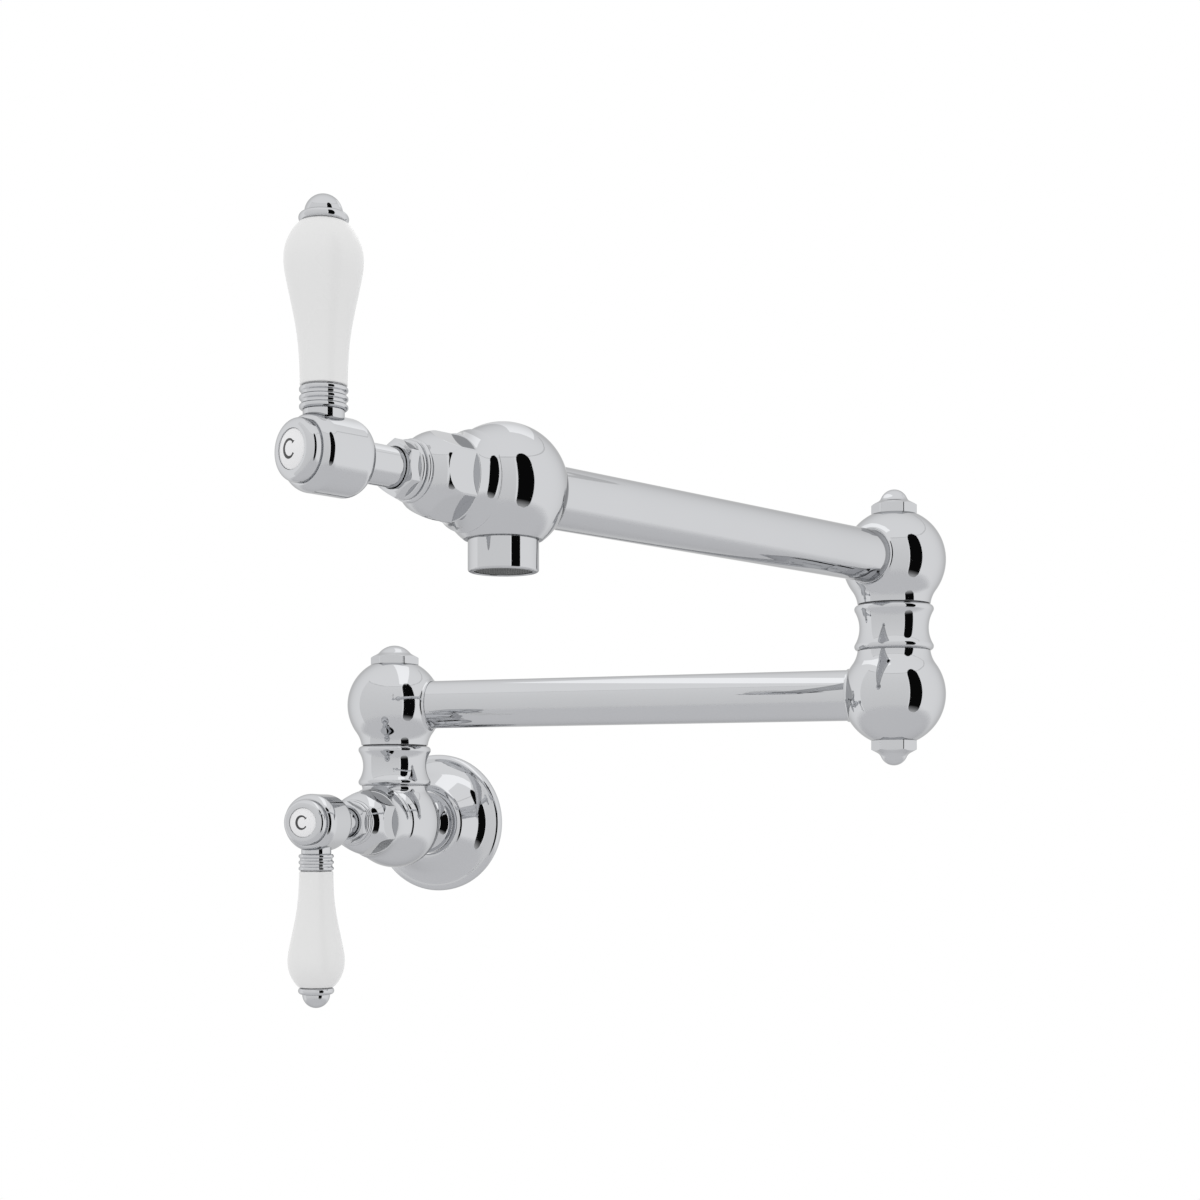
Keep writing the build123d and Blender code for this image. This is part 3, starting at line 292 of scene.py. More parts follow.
def dressed(node, *grids):
    """Smooth piece that stands for a node, on the node's body and in the node's material slot."""
    slot = slot_of[node]
    item = piece(node + "_dressed", frame["nodes"][node]["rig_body"], slot, *grids, stands_for=node)
    print(item.name, len(item.data.polygons), "faces")
    return item


# %% [markdown]
# Finishes come next. Small marks of handling are on every real surface: soft smudges that dull
# the shine a little, hairlines from wiping, and a faint ripple left by polishing or glazing. Each
# finish could have its own noise, but they are the same marks, so one node group makes them and
# each material takes them at its own strength. The marks read Object coordinates, in metres.

# %% A node group of handling marks
def add_node(tree, kind, inputs=None, **settings):
    """Add a node, set its properties, and fill or link its inputs."""
    made = tree.nodes.new(kind)
    for name, value in settings.items():
        setattr(made, name, value)
    for socket, value in (inputs or {}).items():
        if isinstance(value, bpy.types.NodeSocket):
            tree.links.new(value, made.inputs[socket])
        else:
            made.inputs[socket].default_value = value
    return made


def handling_marks():
    """Group that puts out smudges, hairlines and a ripple, each from 0 to 1."""
    group = bpy.data.node_groups.new("handling_marks", "ShaderNodeTree")
    for name in ("Smudge Scale", "Hairline Scale", "Ripple Scale"):
        group.interface.new_socket(name, in_out="INPUT", socket_type="NodeSocketFloat")
    for name in ("Smudge", "Hairline", "Ripple"):
        group.interface.new_socket(name, in_out="OUTPUT", socket_type="NodeSocketFloat")
    given = add_node(group, "NodeGroupInput")
    place = add_node(group, "ShaderNodeTexCoord").outputs["Object"]
    smudge = add_node(group, "ShaderNodeTexNoise", {
        "Vector": place, "Scale": given.outputs["Smudge Scale"], "Detail": 4.0, "Roughness": 0.6})
    patches = add_node(group, "ShaderNodeMapRange", {
        "Value": smudge.outputs["Fac"], "From Min": 0.45, "From Max": 0.75})
    drawn = add_node(group, "ShaderNodeMapping", {
        "Vector": place, "Rotation": (0.5, 0.3, 0.9), "Scale": (1.0, 0.06, 1.0)})
    streaks = add_node(group, "ShaderNodeTexNoise", {
        "Vector": drawn.outputs["Vector"], "Scale": given.outputs["Hairline Scale"], "Detail": 1.0})
    hairline = add_node(group, "ShaderNodeMapRange", {
        "Value": streaks.outputs["Fac"], "From Min": 0.66, "From Max": 0.74})
    ripple = add_node(group, "ShaderNodeTexNoise", {
        "Vector": place, "Scale": given.outputs["Ripple Scale"], "Detail": 1.0})
    add_node(group, "NodeGroupOutput", {
        "Smudge": patches.outputs["Result"], "Hairline": hairline.outputs["Result"],
        "Ripple": ripple.outputs["Fac"]})
    return group


marks_group = handling_marks()
print("group outputs", [item.name for item in marks_group.interface.items_tree if item.in_out == "OUTPUT"])

# %% [markdown]
# A finish is a Principled shader fed by those marks: the smudges raise the roughness, the ripple
# and the hairlines go into a Bump node, and a soft noise varies the colour a little. Chromium
# gives back about six tenths of the light, so chrome in white surroundings looks light grey, not
# white, and that is the value written here. Painting the reflections could look right from one
# side only, so they are left to the shader and the things around the tap.

# %% The finishes
# A Mix node's sockets share their names, so those of its colours are told by number.
MIX_FACTOR, MIX_DARK, MIX_LIGHT, MIXED = 0, 6, 7, 2


def finish(slot, dark, light, roughness, smudged, scales, depth, drift=30.0, **sockets):
    """Material of one slot. Colour runs from dark to light with a soft noise, roughness from its
    plain value to the smudged one, and depth is the height of ripple and hairlines in metres."""
    material = bpy.data.materials.new(slot)
    material.use_nodes = True
    tree = material.node_tree
    shader = tree.nodes["Principled BSDF"]
    for name, value in sockets.items():
        shader.inputs[name.replace("_", " ")].default_value = value
    marks = add_node(tree, "ShaderNodeGroup", node_tree=marks_group)
    for name, value in zip(("Smudge Scale", "Hairline Scale", "Ripple Scale"), scales):
        marks.inputs[name].default_value = value
    place = add_node(tree, "ShaderNodeTexCoord").outputs["Object"]
    cloud = add_node(tree, "ShaderNodeTexNoise", {"Vector": place, "Scale": drift, "Detail": 3.0})
    tint = add_node(tree, "ShaderNodeMix", data_type="RGBA")
    tint.inputs[MIX_DARK].default_value = (*dark, 1)
    tint.inputs[MIX_LIGHT].default_value = (*light, 1)
    tree.links.new(cloud.outputs["Fac"], tint.inputs[MIX_FACTOR])
    tree.links.new(tint.outputs[MIXED], shader.inputs["Base Color"])
    dull = add_node(tree, "ShaderNodeMapRange", {
        "Value": marks.outputs["Smudge"], "To Min": roughness, "To Max": smudged})
    tree.links.new(dull.outputs["Result"], shader.inputs["Roughness"])
    height = add_node(tree, "ShaderNodeMath", {
        0: marks.outputs["Ripple"], 1: marks.outputs["Hairline"]}, operation="SUBTRACT")
    relief = add_node(tree, "ShaderNodeBump", {
        "Height": height.outputs[0], "Strength": 1.0, "Distance": depth})
    tree.links.new(relief.outputs["Normal"], shader.inputs["Normal"])
    finishes[slot] = material
    return material


EDGE_TINT = (0.6, 0.6, 0.6, 1.0)
finish("chrome", (0.615, 0.623, 0.64), (0.635, 0.643, 0.66), 0.03, 0.06, (22, 2600, 240), 1.2e-7,
       Metallic=1.0, Specular_Tint=EDGE_TINT)
finish("brass", (0.60, 0.42, 0.18), (0.74, 0.55, 0.27), 0.24, 0.40, (60, 3000, 400), 4e-6, Metallic=1.0)
finish("steel", (0.34, 0.34, 0.35), (0.46, 0.46, 0.47), 0.26, 0.42, (80, 3000, 500), 3e-6, Metallic=1.0)
finish("porcelain", (0.77, 0.77, 0.768), (0.795, 0.795, 0.793), 0.24, 0.34, (30, 1500, 110), 3e-6,
       IOR=1.5, Specular_IOR_Level=0.28)
finish("index_enamel", (0.80, 0.80, 0.81), (0.84, 0.84, 0.85), 0.20, 0.30, (70, 2500, 260), 2e-6, IOR=1.5)
finish("disc_ceramic", (0.82, 0.80, 0.76), (0.88, 0.87, 0.84), 0.30, 0.42, (90, 3000, 500), 2e-6)
finish("seal_rubber", (0.012, 0.012, 0.013), (0.03, 0.03, 0.032), 0.55, 0.70, (120, 2500, 900), 2e-5)
finish("glide_plastic", (0.10, 0.10, 0.105), (0.15, 0.15, 0.155), 0.42, 0.55, (90, 2500, 700), 8e-6)
finish("insert_plastic", (0.05, 0.052, 0.052), (0.08, 0.083, 0.083), 0.45, 0.60, (120, 2500, 800), 1e-5)
print("finishes", ", ".join(finishes))

# %% [markdown]
# The arms are two drawn tubes soldered into cast balls. A ball could be a UV sphere with parts cut
# off, but it is really one turned section: a sphere that runs smoothly into a neck, with a flat at
# the other end for its cap nut. Where a tube or a bonnet leaves it sideways, a short ring flows
# out of the sphere. Its cove touches the sphere, so the three centres lie on one line.

# %% Balls, necks and tubes
ball_radius = 22.0
neck_end = np.array((15.5, 18.8))
neck_flare = -6.5
tube_radius = (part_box("lower_tube")[1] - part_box("lower_tube")[0])[2] / 2 / MM
tube_seat = (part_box("lower_tube")[0][0] - swivel_centre[0]) / MM
lip_proud, lip_height, lip_flare = 0.45, 19.8, -3.4
lip_end = np.array((tube_radius + lip_proud, lip_height))
ring_root = 0.97
acorn_seat, low_cap_seat, aerator_seat = 19.8, 19.2, 17.5


def cove(radius, end, flare):
    """Neck's cove from where it touches the sphere to the neck's end. Its circle passes through
    the end, square to the end's slope, and touches the sphere from outside."""
    slope = np.radians(flare)
    across = np.array((np.cos(slope), -np.sin(slope)))
    size = (end @ end - radius**2) / (2 * (radius - end @ across))
    start = (end + size * across) * radius / (radius + size)
    return arc(start, end, (-start[1], start[0]), count=16)


def ring_section(radius, end, flare, inner):
    """Closed section of a neck that flows out of a sphere's side, from just under its surface."""
    flow = cove(radius, end, flare)
    root = ring_root * flow[0]
    return outline(run(root), flow, run(end, (inner, end[1]), (inner, root[1] / 2), root), ease=EDGE_EASE)


def level(radius, height):
    """Point of a sphere at a height, as (radius, height)."""
    return np.array((np.sqrt(radius**2 - height**2), height))


def globe(radius, start, end, count=72):
    """Stretch of a sphere's section between two of its points."""
    angle = np.linspace(np.arctan2(start[1], start[0]), np.arctan2(end[1], end[0]), count)
    return radius * np.column_stack((np.cos(angle), np.sin(angle)))


def necked_ball(radius, end, flare, seat):
    """Section of a ball from its neck's face down to the flat under its cap nut."""
    flow = cove(radius, end, flare)
    flat = level(radius, -seat)
    return outline(run((0, end[1]), end), flow[::-1], globe(radius, flow[0], flat), run(flat, (0, -seat)))


lip = ring_section(ball_radius, lip_end, lip_flare, tube_radius)
capped = {
    "swivel_ball": (swivel_centre, -UP, RIGHT, low_cap_seat),
    "elbow_upper_ball": (elbow_high, -UP, spout_way, acorn_seat),
    "elbow_lower_ball": (elbow_low, UP, -RIGHT, acorn_seat),
}
for node, (centre, neck_way, tube_way, seat) in capped.items():
    section = necked_ball(ball_radius, neck_end, neck_flare, seat)
    dressed(node, turned(section, centre, neck_way, RIGHT), turned(lip, centre, tube_way, UP))

tube = outline(run((0, tube_seat), (tube_radius, tube_seat), (tube_radius, arm_reach - tube_seat),
                   (0, arm_reach - tube_seat)))
dressed("lower_tube", turned(tube, swivel_centre, RIGHT, UP))
dressed("upper_tube", turned(tube, elbow_high, spout_way, UP))

# %% [markdown]
# The outlet valve's body is the same ball with the tube behind, a neck for the bonnet in front and
# a flat below for the aerator. The wall valve's body is a little smaller and has one neck in front
# and one on top. Each is a sphere with rings flowing out of it: a boolean could join them, but it
# would cut the even grid into slivers, and slivers spoil a mirror.

# %% Valve bodies
body_radius = 21.0
body_neck_end = np.array((15.5, 17.25))
body_neck_flare = 30.0
body_face, spout_face = np.array((16.5, 19.5)), np.array((15.2, 17.1))
body_face_flare, spout_face_flare = 60.0, 20.5

flat = level(ball_radius, -aerator_seat)
spout_globe = outline(globe(ball_radius, (0, ball_radius), flat), run(flat, (0, -aerator_seat)))
spout_neck = ring_section(ball_radius, spout_face, spout_face_flare, 0)
dressed("spout_ball", turned(spout_globe, spout_centre, UP, RIGHT),
        turned(spout_neck, spout_centre, spout_way, UP), turned(lip, spout_centre, -spout_way, UP))

top_cove = cove(body_radius, body_neck_end, body_neck_flare)
body_globe = outline(run((0, body_neck_end[1]), body_neck_end), top_cove[::-1],
                     globe(body_radius, top_cove[0], (0, -body_radius)))
body_neck = ring_section(body_radius, body_face, body_face_flare, 0)
dressed("valve_body", turned(body_globe, body_centre, UP, RIGHT),
        turned(body_neck, body_centre, body_way, UP))

# %% [markdown]
# Between body and ball stands a waisted collar, and a thin dark glide washer lets the ball turn on
# it. The collar's waist is one long arc. Its two lips are rounded bands that touch the waist and tuck
# in under the neck above and below, which leaves the fine shadow line that the eye reads as a joint.

# %% Collars and glides
collar_radius, collar_lip, collar_round, waist_radius = 16.9, 1.7, 2.0, 14.75
glide_radius, glide_thickness, glide_ease = 14.9, 0.4, 0.1


def collar_section(height):
    """Section of a collar of some height: lip, waist, lip. The lip's round turns by the angle of the
    waist's end, twice that of the line from the lip's crest to the middle of the waist."""
    low, high = (collar_radius, collar_lip), (collar_radius, height - collar_lip)
    foot, head = (neck_end[0], 0), (neck_end[0], height)
    bend = 2 * np.arctan2(collar_radius - waist_radius, height / 2 - collar_lip)
    edge = collar_radius - collar_round * (1 - np.cos(bend))
    rise = collar_lip + collar_round * np.sin(bend)
    waist_foot, waist_head = (edge, rise), (edge, height - rise)
    return outline(run((0, 0), foot), arc(low, foot, (0, -1))[::-1], arc(low, waist_foot, (0, 1), count=12),
                   bulge(waist_foot, waist_head, waist_radius - edge, count=40),
                   arc(high, waist_head, (0, -1), count=12)[::-1], arc(high, head, (0, 1)),
                   run(head, (0, height)), ease=EDGE_EASE)


feet = {"swivel": body_centre + UP * body_neck_end[1] * MM, "elbow": elbow_low + UP * neck_end[1] * MM}
for joint, foot in feet.items():
    low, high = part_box(joint + "_collar")
    height = (high - low)[2] / MM
    dressed(joint + "_collar", turned(collar_section(height), foot, UP, RIGHT))
    glide = outline(run((0, height), (glide_radius, height), (glide_radius, height + glide_thickness),
                        (0, height + glide_thickness)), ease=glide_ease)
    dressed(joint + "_glide", turned(glide, foot, UP, RIGHT))

# %% [markdown]
# Cap nuts close the balls: two acorn nuts on the elbow and a wider, lower one on the swivel. Each
# is a hexagon with a coned shoulder, a cove and a dome, like a bell. Where the cone meets the flats it
# leaves the small bows that every real nut has, and the flatted grid gives them by itself, because
# the cone's radius falls below the flat's distance there.

# %% Cap nuts
CORNER_ROUND, CAP_CORNER_ROUND, CAP_EASE = 0.7, 1.6, 0.18
MID_FLAT = np.radians(30)
low_cap_turn, acorn_turn = np.radians(18.7), np.radians(4.7)
low_cap_flats, acorn_flats = 19.8, 17.2


def cap_section(seat, flats, hex_height, cone_radius, cone_rise, dome_radius, height):
    """Section of a cap nut: the corner's radius, the cone, the cove and the dome. The cove's circle
    goes on from the cone's line and touches the dome's circle from outside."""
    corner = np.array((flats / np.sqrt(3), seat + hex_height))
    cone_end = np.array((cone_radius, corner[1] + cone_rise))
    way = (cone_end - corner) / np.linalg.norm(cone_end - corner)
    out = np.array((way[1], -way[0]))
    middle = np.array((0, seat + height - dome_radius))
    above = cone_end - middle
    size = (above @ above - dome_radius**2) / (2 * (dome_radius - above @ out))
    touch = (above + size * out) * dome_radius / (dome_radius + size)
    return outline(run((0, seat), (corner[0], seat), corner, cone_end),
                   arc(cone_end, middle + touch, way, count=12),
                   arc(middle + touch, (0, seat + height), (-touch[1], touch[0])), ease=CAP_EASE)


acorn = cap_section(acorn_seat, acorn_flats, hex_height=3.75, cone_radius=7.0, cone_rise=1.6,
                    dome_radius=5.95, height=10.65)
low_cap = cap_section(low_cap_seat, low_cap_flats, hex_height=3.1, cone_radius=8.4, cone_rise=1.6,
                      dome_radius=9.5, height=8.9)
nuts = {
    "swivel_cap_nut": (low_cap, swivel_centre, UP, low_cap_flats, low_cap_turn),
    "elbow_top_nut": (acorn, elbow_high, UP, acorn_flats, acorn_turn),
    "elbow_bottom_nut": (acorn, elbow_low, -UP, acorn_flats, -acorn_turn),
}
for node, (section, centre, way, flats, turn) in nuts.items():
    dressed(node, flatted(section, centre, way, RIGHT, flats, MID_FLAT + turn, CAP_CORNER_ROUND))

# %% [markdown]
# At the wall a bell-shaped flange hides the hole, and the inlet union fills the hole in its hub. The
# bell is spun from sheet on the real tap: a round hub, a cone, a wide cove and a round rim. Arcs
# that meet in line give the same sweep, and the flange is kept hollow, as it is seen from behind too.

# %% Wall flange and inlet union
wall_origin = np.zeros(3)
rim_radius, rim_height, sheet, flange_steps = 33.6, 1.4, 2.2, 240
crease, cone_foot, shoulder = np.array(((30.4, 4.85), (24.0, 9.7), (19.1, 16.1)))
hub_radius, hole_radius, flange_height = 15.9, 15.3, 17.5
flange = outline(
    run((rim_radius - sheet, 0), (rim_radius, 0)),
    arc((rim_radius, rim_height), crease, (0, 1)), arc(cone_foot, crease, cone_foot - shoulder)[::-1],
    arc((hub_radius, flange_height), shoulder, (1, 0))[::-1],
    run((hole_radius, flange_height), (hole_radius, flange_height - sheet), shoulder - sheet,
        cone_foot - sheet, crease - sheet, (rim_radius - sheet, rim_height), (rim_radius - sheet, 0)),
    ease=SOFT_EASE)
dressed("wall_flange", turned(flange, wall_origin, WALL_OUT, RIGHT, flange_steps))

thread_radius, thread_length, inlet_shank = 9.3, 15.0, 15.0
inlet_ring, ring_round, flare_radius, flare_hollow = 18.1, 0.4, 13.1, 0.17
inlet_neck, neck_start, inlet_end = 9.6, 21.3, 33.6
union = outline(
    run((0, thread_length), (thread_radius, thread_length), (thread_radius, 0), (inlet_shank, 0)),
    arc((inlet_shank, inlet_ring - ring_round), (inlet_shank - ring_round, inlet_ring), (0, 1)),
    bulge((flare_radius, inlet_ring), (inlet_neck, neck_start), -flare_hollow, count=16),
    run((inlet_neck, inlet_end), (0, inlet_end)), ease=EDGE_EASE)
dressed("inlet_union", turned(union, wall_origin, WALL_OUT, RIGHT))

# %% [markdown]
# A bonnet clamps each valve's cartridge. Its hollow band is turned, and the domed barrel in front of
# it has six flats for a wrench. A flat plane cuts a dome in a curved line, so each flat looks like
# an eye. Booleans would give the same cut, but here the grid's columns follow that line, and the
# corner points along the valve's lever.

# %% Bonnets and packing nuts
band_radius, barrel_radius, front_radius, bonnet_flats = 17.1, 14.55, 9.15, 25.6
valve_face, band_end, dome_start, dome_end = 17.7, 25.2, 30.6, 41.2
barrel_root, barrel_tuck, flat_edge_round, band_ease = 1.0, 0.2, 0.3, 0.4
bead_roots, bead_crests, bead_ends = (9.25, 8.8), (10.3, 9.7), (41.2, 43.4, 45.7)
nut_flats, nut_cone, nut_end, stem_hole, stem_hole_floor = 16.6, 0.9, 49.7, 6.8, 46.4
wall_valve = body_centre + body_way * (body_face[1] - valve_face) * MM
outlet_valve = spout_centre + spout_way * (spout_face[1] - valve_face) * MM
valves = {"wall": (wall_valve, body_way, -UP), "outlet": (outlet_valve, spout_way, UP)}

hollow = arc((barrel_radius, band_end), (band_radius, valve_face), (0, -1))[::-1]
band = outline(run((0, valve_face)), hollow, run((0, band_end)), ease=band_ease)
barrel = outline(
    run((0, band_end - barrel_root), (barrel_radius - barrel_tuck, band_end - barrel_root),
        (barrel_radius, band_end)),
    arc((barrel_radius, dome_start), (front_radius, dome_end), (0, 1), count=60), run((0, dome_end)))
nut_beads = [bulge((root, low), (root, high), crest - root, count=16)
             for root, crest, low, high in zip(bead_roots, bead_crests, bead_ends, bead_ends[1:])]
nut_rings = outline(run((0, bead_ends[0])), *nut_beads, run((0, bead_ends[-1])), ease=FINE_EASE)
nut_corner = nut_flats / np.sqrt(3)
nut_hex = outline(run((0, bead_ends[-1]), (nut_corner, bead_ends[-1]), (nut_corner, nut_end - nut_cone),
                      (nut_corner - 2 * nut_cone, nut_end), (stem_hole, nut_end),
                      (stem_hole, stem_hole_floor), (0, stem_hole_floor)), ease=EDGE_EASE)
for valve, (centre, along, lever_way) in valves.items():
    dressed(valve + "_bonnet", turned(band, centre, along, lever_way),
            flatted(barrel, centre, along, lever_way, bonnet_flats, MID_FLAT, flat_edge_round))
    dressed(valve + "_packing_nut", turned(nut_rings, centre, along, lever_way),
            flatted(nut_hex, centre, along, lever_way, nut_flats, MID_FLAT, CORNER_ROUND))

# %% [markdown]
# The lever's hub is a barrel on a stem, rounded at the back, with a groove and a bezel round its
# button. A short boss stands out of its side for the lever. The button is pressed in and crowned,
# so that its enamel stands a little proud of the bezel and catches the light at one side.

# %% Lever hubs and buttons
stem_radius, stem_start, hub_start, hub_end = 6.5, 46.4, 64.6, 90.1
hub_back_radius, hub_barrel, barrel_start = 8.5, 12.3, 69.6
hub_shoulder, shoulder_start, groove_start, groove_radius = 10.3, 81.8, 86.0, 9.4
bezel_start, bezel_radius, bezel_round, bezel_edge = 86.4, 9.8, 2.6, 7.2
button_radius, button_fit, button_floor, button_crown, button_front = 6.3, 0.05, 87.5, 1.35, 91.1
lever_height, boss_radius, boss_root, boss_end = 77.6, 6.4, 5.0, 13.5

hub = outline(
    run((0, stem_start), (stem_radius, stem_start), (stem_radius, hub_start)),
    arc((hub_barrel, barrel_start), (hub_back_radius, hub_start), (0, -1))[::-1],
    arc((hub_barrel, shoulder_start), (hub_shoulder, groove_start), (0, 1)),
    run((groove_radius, groove_start), (groove_radius, bezel_start), (bezel_radius, bezel_start)),
    arc((bezel_radius, hub_end - bezel_round), (bezel_edge, hub_end), (0, 1)),
    run((button_radius, hub_end), (button_radius, button_floor), (0, button_floor)), ease=EDGE_EASE)
boss = outline(run((0, boss_root), (boss_radius, boss_root), (boss_radius, boss_end), (0, boss_end)))
button_edge = button_radius - button_fit
button = outline(run((0, button_floor), (button_edge, button_floor)),
                 arc((0, button_front), (button_edge, button_front - button_crown), (1, 0))[::-1],
                 ease=EDGE_EASE)
levers = {}
for valve, (centre, along, lever_way) in valves.items():
    levers[valve] = (centre + along * lever_height * MM, lever_way, along)
    dressed(valve + "_lever_hub", turned(hub, centre, along, lever_way), turned(boss, *levers[valve]))
    dressed(valve + "_index_button", turned(button, centre, along, lever_way))

# %% [markdown]
# Each button carries the plain mark of a cold tap, a letter C. A text object would bring somebody's
# typeface with it, so the letter is worked out as a stroke: an open ring that is thicker at its
# back and ends in two small heads. It lies on the crowned enamel like a print, with a little
# thickness of its own.

# %% The cold mark
mark_radius, mark_stretch, mark_opening, mark_proud = 2.42, 1.12, np.radians(34), 0.05
stroke_thin, stroke_thick, upper_head, lower_head, head_length = 0.5, 1.25, 1.0, 0.25, 0.14
mark_steps, mark_sides = 90, 12


def cold_mark(centre, along, upright):
    """Flat tube round an open ring: point(u, v) = (r + w(u) cos v) spoke(u) + (crown + p sin v) along,
    with u from one end of the opening to the other, the half width w swelling at the back and at
    the ends, and the crown falling from the button's middle with the square of the radius."""
    u = np.linspace(mark_opening, 2 * np.pi - mark_opening, mark_steps)
    v = np.linspace(0, 2 * np.pi, mark_sides, endpoint=False)
    back = np.sin((u - mark_opening) / (u[-1] - u[0]) * np.pi)**2
    heads = (upper_head * np.exp(-((u - u[0]) / head_length)**2)
             + lower_head * np.exp(-((u[-1] - u) / head_length)**2))
    half = (stroke_thin + (stroke_thick - stroke_thin) * back + heads) / 2
    half[[0, -1]] = 0
    sideways = np.cross(upright, along)
    spoke = np.outer(np.cos(u), sideways) + mark_stretch * np.outer(np.sin(u), upright)
    flat = (mark_radius + half[:, None] * np.cos(v))[..., None] * spoke[:, None]
    crown = button_front - button_crown * np.sum(flat**2, axis=-1) / button_radius**2
    rise = crown + mark_proud * np.sin(v) * (half[:, None] > 0)
    return centre + MM * (flat + rise[..., None] * along)


finish("mark_paint", (0.03, 0.03, 0.032), (0.05, 0.05, 0.052), 0.35, 0.5, (90, 2500, 700), 2e-6)
for valve, (centre, along, lever_way) in valves.items():
    mark = piece(valve + "_cold_mark", valve + "_lever", "mark_paint", cold_mark(centre, along, UP))
    print(mark.name, len(mark.data.polygons), "faces")

# %% [markdown]
# On the boss sits a ferrule with three waves, then the porcelain grip, and a finial holds it all on
# a hidden rod. Porcelain is slip-cast in a mould and glazed, so its outline has no corners: one
# smooth curve runs from the slim foot to the belly and an arc closes it. That curve could be a
# subdivided cage, but four points on a section give the same swell and stay easy to measure.

# %% Ferrules, grips and finials
ferrule_foot, bead_pitch, bead_count, valley, crest = 13.5, 2.65, 3, 6.9, 7.5
half_crown, crown_rise, bead_ramp, bead_ease = 0.5, 0.085, 0.42, 0.2
ferrule_neck, grip_foot, grip_end, grip_ease = 6.5, 20.94, 70.59, 0.5
grip_points = [(7.3, 0.0), (8.2, 15.6), (11.35, 31.9), (12.2, 38.5)]
grip_tip = 7.5
finial_bead, finial_bead_length, finial_dome, finial_length = 7.7, 3.1, 5.95, 9.0

crown_edge, half_bead = crest - crown_rise, half_crown + bead_ramp
middles = ferrule_foot + half_bead + bead_pitch * np.arange(bead_count)
waves = [each for middle in middles for each in (
    run((valley, middle - half_bead)),
    bulge((crown_edge, middle - half_crown), (crown_edge, middle + half_crown), crown_rise, count=12),
    run((valley, middle + half_bead)))]
ferrule_end = middles[-1] + half_bead
ferrule = outline(run((0, ferrule_foot)), *waves, run(
    (ferrule_neck, ferrule_end), (ferrule_neck, grip_foot), (0, grip_foot)), ease=bead_ease)
belly = (grip_points[-1][0], grip_foot + grip_points[-1][1])
grip = outline(run((0, grip_foot)),
               smooth_curve([(r, grip_foot + h) for r, h in grip_points], (0, 1), (0, 1)),
               arc(belly, (grip_tip, grip_end), (0, 1), count=40), run((0, grip_end)), ease=grip_ease)
bead_foot = (finial_bead - finial_bead_length / 2, grip_end)
bead_head = (bead_foot[0], grip_end + finial_bead_length)
finial = outline(run((0, grip_end)), bulge(bead_foot, bead_head, finial_bead_length / 2),
                 arc((0, grip_end + finial_length), (finial_dome, bead_head[1]), (1, 0))[::-1],
                 ease=FINE_EASE)
for valve, place in levers.items():
    dressed(valve + "_lever_ferrule", turned(ferrule, *place))
    dressed(valve + "_grip", turned(grip, *place))
    dressed(valve + "_lever_finial", turned(finial, *place))

# %% [markdown]
# Water leaves through the aerator: a short polished housing with a dark stream former in its mouth
# and a woven wire screen across it. The screen could be a picture of a net, but it is real wire, so
# each wire is a thin tube that goes over and under its neighbours like a sine, cut to the circle.

# %% Aerator housing, stream former and screen
housing_radius, housing_round, mouth_radius, former_fit = 12.0, 0.8, 9.85, 0.05
mouth, mouth_floor, former_face = 28.3, 25.0, 27.3
screen_height, wire_radius, wire_pitch, wire_steps, wire_sides = 27.75, 0.11, 0.58, 70, 6
former_radius = mouth_radius - former_fit
housing = outline(
    run((0, aerator_seat), (housing_radius, aerator_seat)),
    arc((housing_radius, mouth - housing_round), (housing_radius - housing_round, mouth), (0, 1)),
    run((mouth_radius, mouth), (mouth_radius, mouth_floor), (0, mouth_floor)), ease=SOFT_EASE)
former = outline(run((0, mouth_floor), (former_radius, mouth_floor), (former_radius, former_face),
                     (0, former_face)), ease=SOFT_EASE)
dressed("aerator_housing", turned(housing, spout_centre, -UP, RIGHT))
dressed("aerator_insert", turned(former, spout_centre, -UP, RIGHT))


def screen_wires(along, across, phase):
    """Wires of one direction: point(k, u, v) = y(k) across + x(u) along + a sin(pi x / p + phase k)
    down + wire radius (cos v across + sin v down), with x to the circle's edge at y(k)."""
    count = int((mouth_radius - wire_pitch) / wire_pitch)
    y = wire_pitch * np.arange(-count, count + 1)
    x = np.sqrt(former_radius**2 - y**2)[:, None] * np.linspace(-1, 1, wire_steps)
    over = np.sin(np.pi * (x / wire_pitch + 0.5 + np.arange(len(y))[:, None] + phase))
    v = np.linspace(0, 2 * np.pi, wire_sides, endpoint=False)
    thick = np.r_[0, np.full(wire_steps - 2, wire_radius), 0][:, None]
    down = screen_height + wire_radius * over[..., None] + thick * np.sin(v)
    sideways = y[:, None, None] + thick * np.cos(v)
    return spout_centre + MM * (x[..., None, None] * along + sideways[..., None] * across
                                - down[..., None] * UP)


side_way = np.cross(UP, spout_way)
wires = [wire for grid in (screen_wires(spout_way, side_way, 0), screen_wires(side_way, spout_way, 1))
         for wire in grid]
finish("screen_wire", (0.09, 0.092, 0.092), (0.14, 0.143, 0.143), 0.35, 0.5, (120, 3000, 900), 1e-6,
       Metallic=0.6)
screen = piece("aerator_screen", "upper_arm", "screen_wire", *wires)
print(screen.name, len(wires), "wires,", len(screen.data.polygons), "faces")

# %% [markdown]
# The pieces inside, such as spindles, discs and seals, don't show on a whole tap. Their packed
# shape is right, so they stay as they are and only get the finish of their slot.

# %% Finishes for the inner pieces
inner = [node for node, item in frame["nodes"].items() if not item.hide_render]
for node in inner:
    for holder in frame["nodes"][node].material_slots:
        holder.material = finishes[slot_of[node]]
print(len(inner), "inner nodes keep their packed shape")

# %% [markdown]
# Chrome has no colour of its own: it shows the room. The tap stands in a white surround, with a
# pale floor below that fades out at its edge, a light grey flat on the camera's side, a black flag
# beside it and a softbox above. Lamps alone would leave the metal blank. Flat and flag are parts of
# wide cylinders round the tap, given by angles seen from it, and the camera itself doesn't see them.

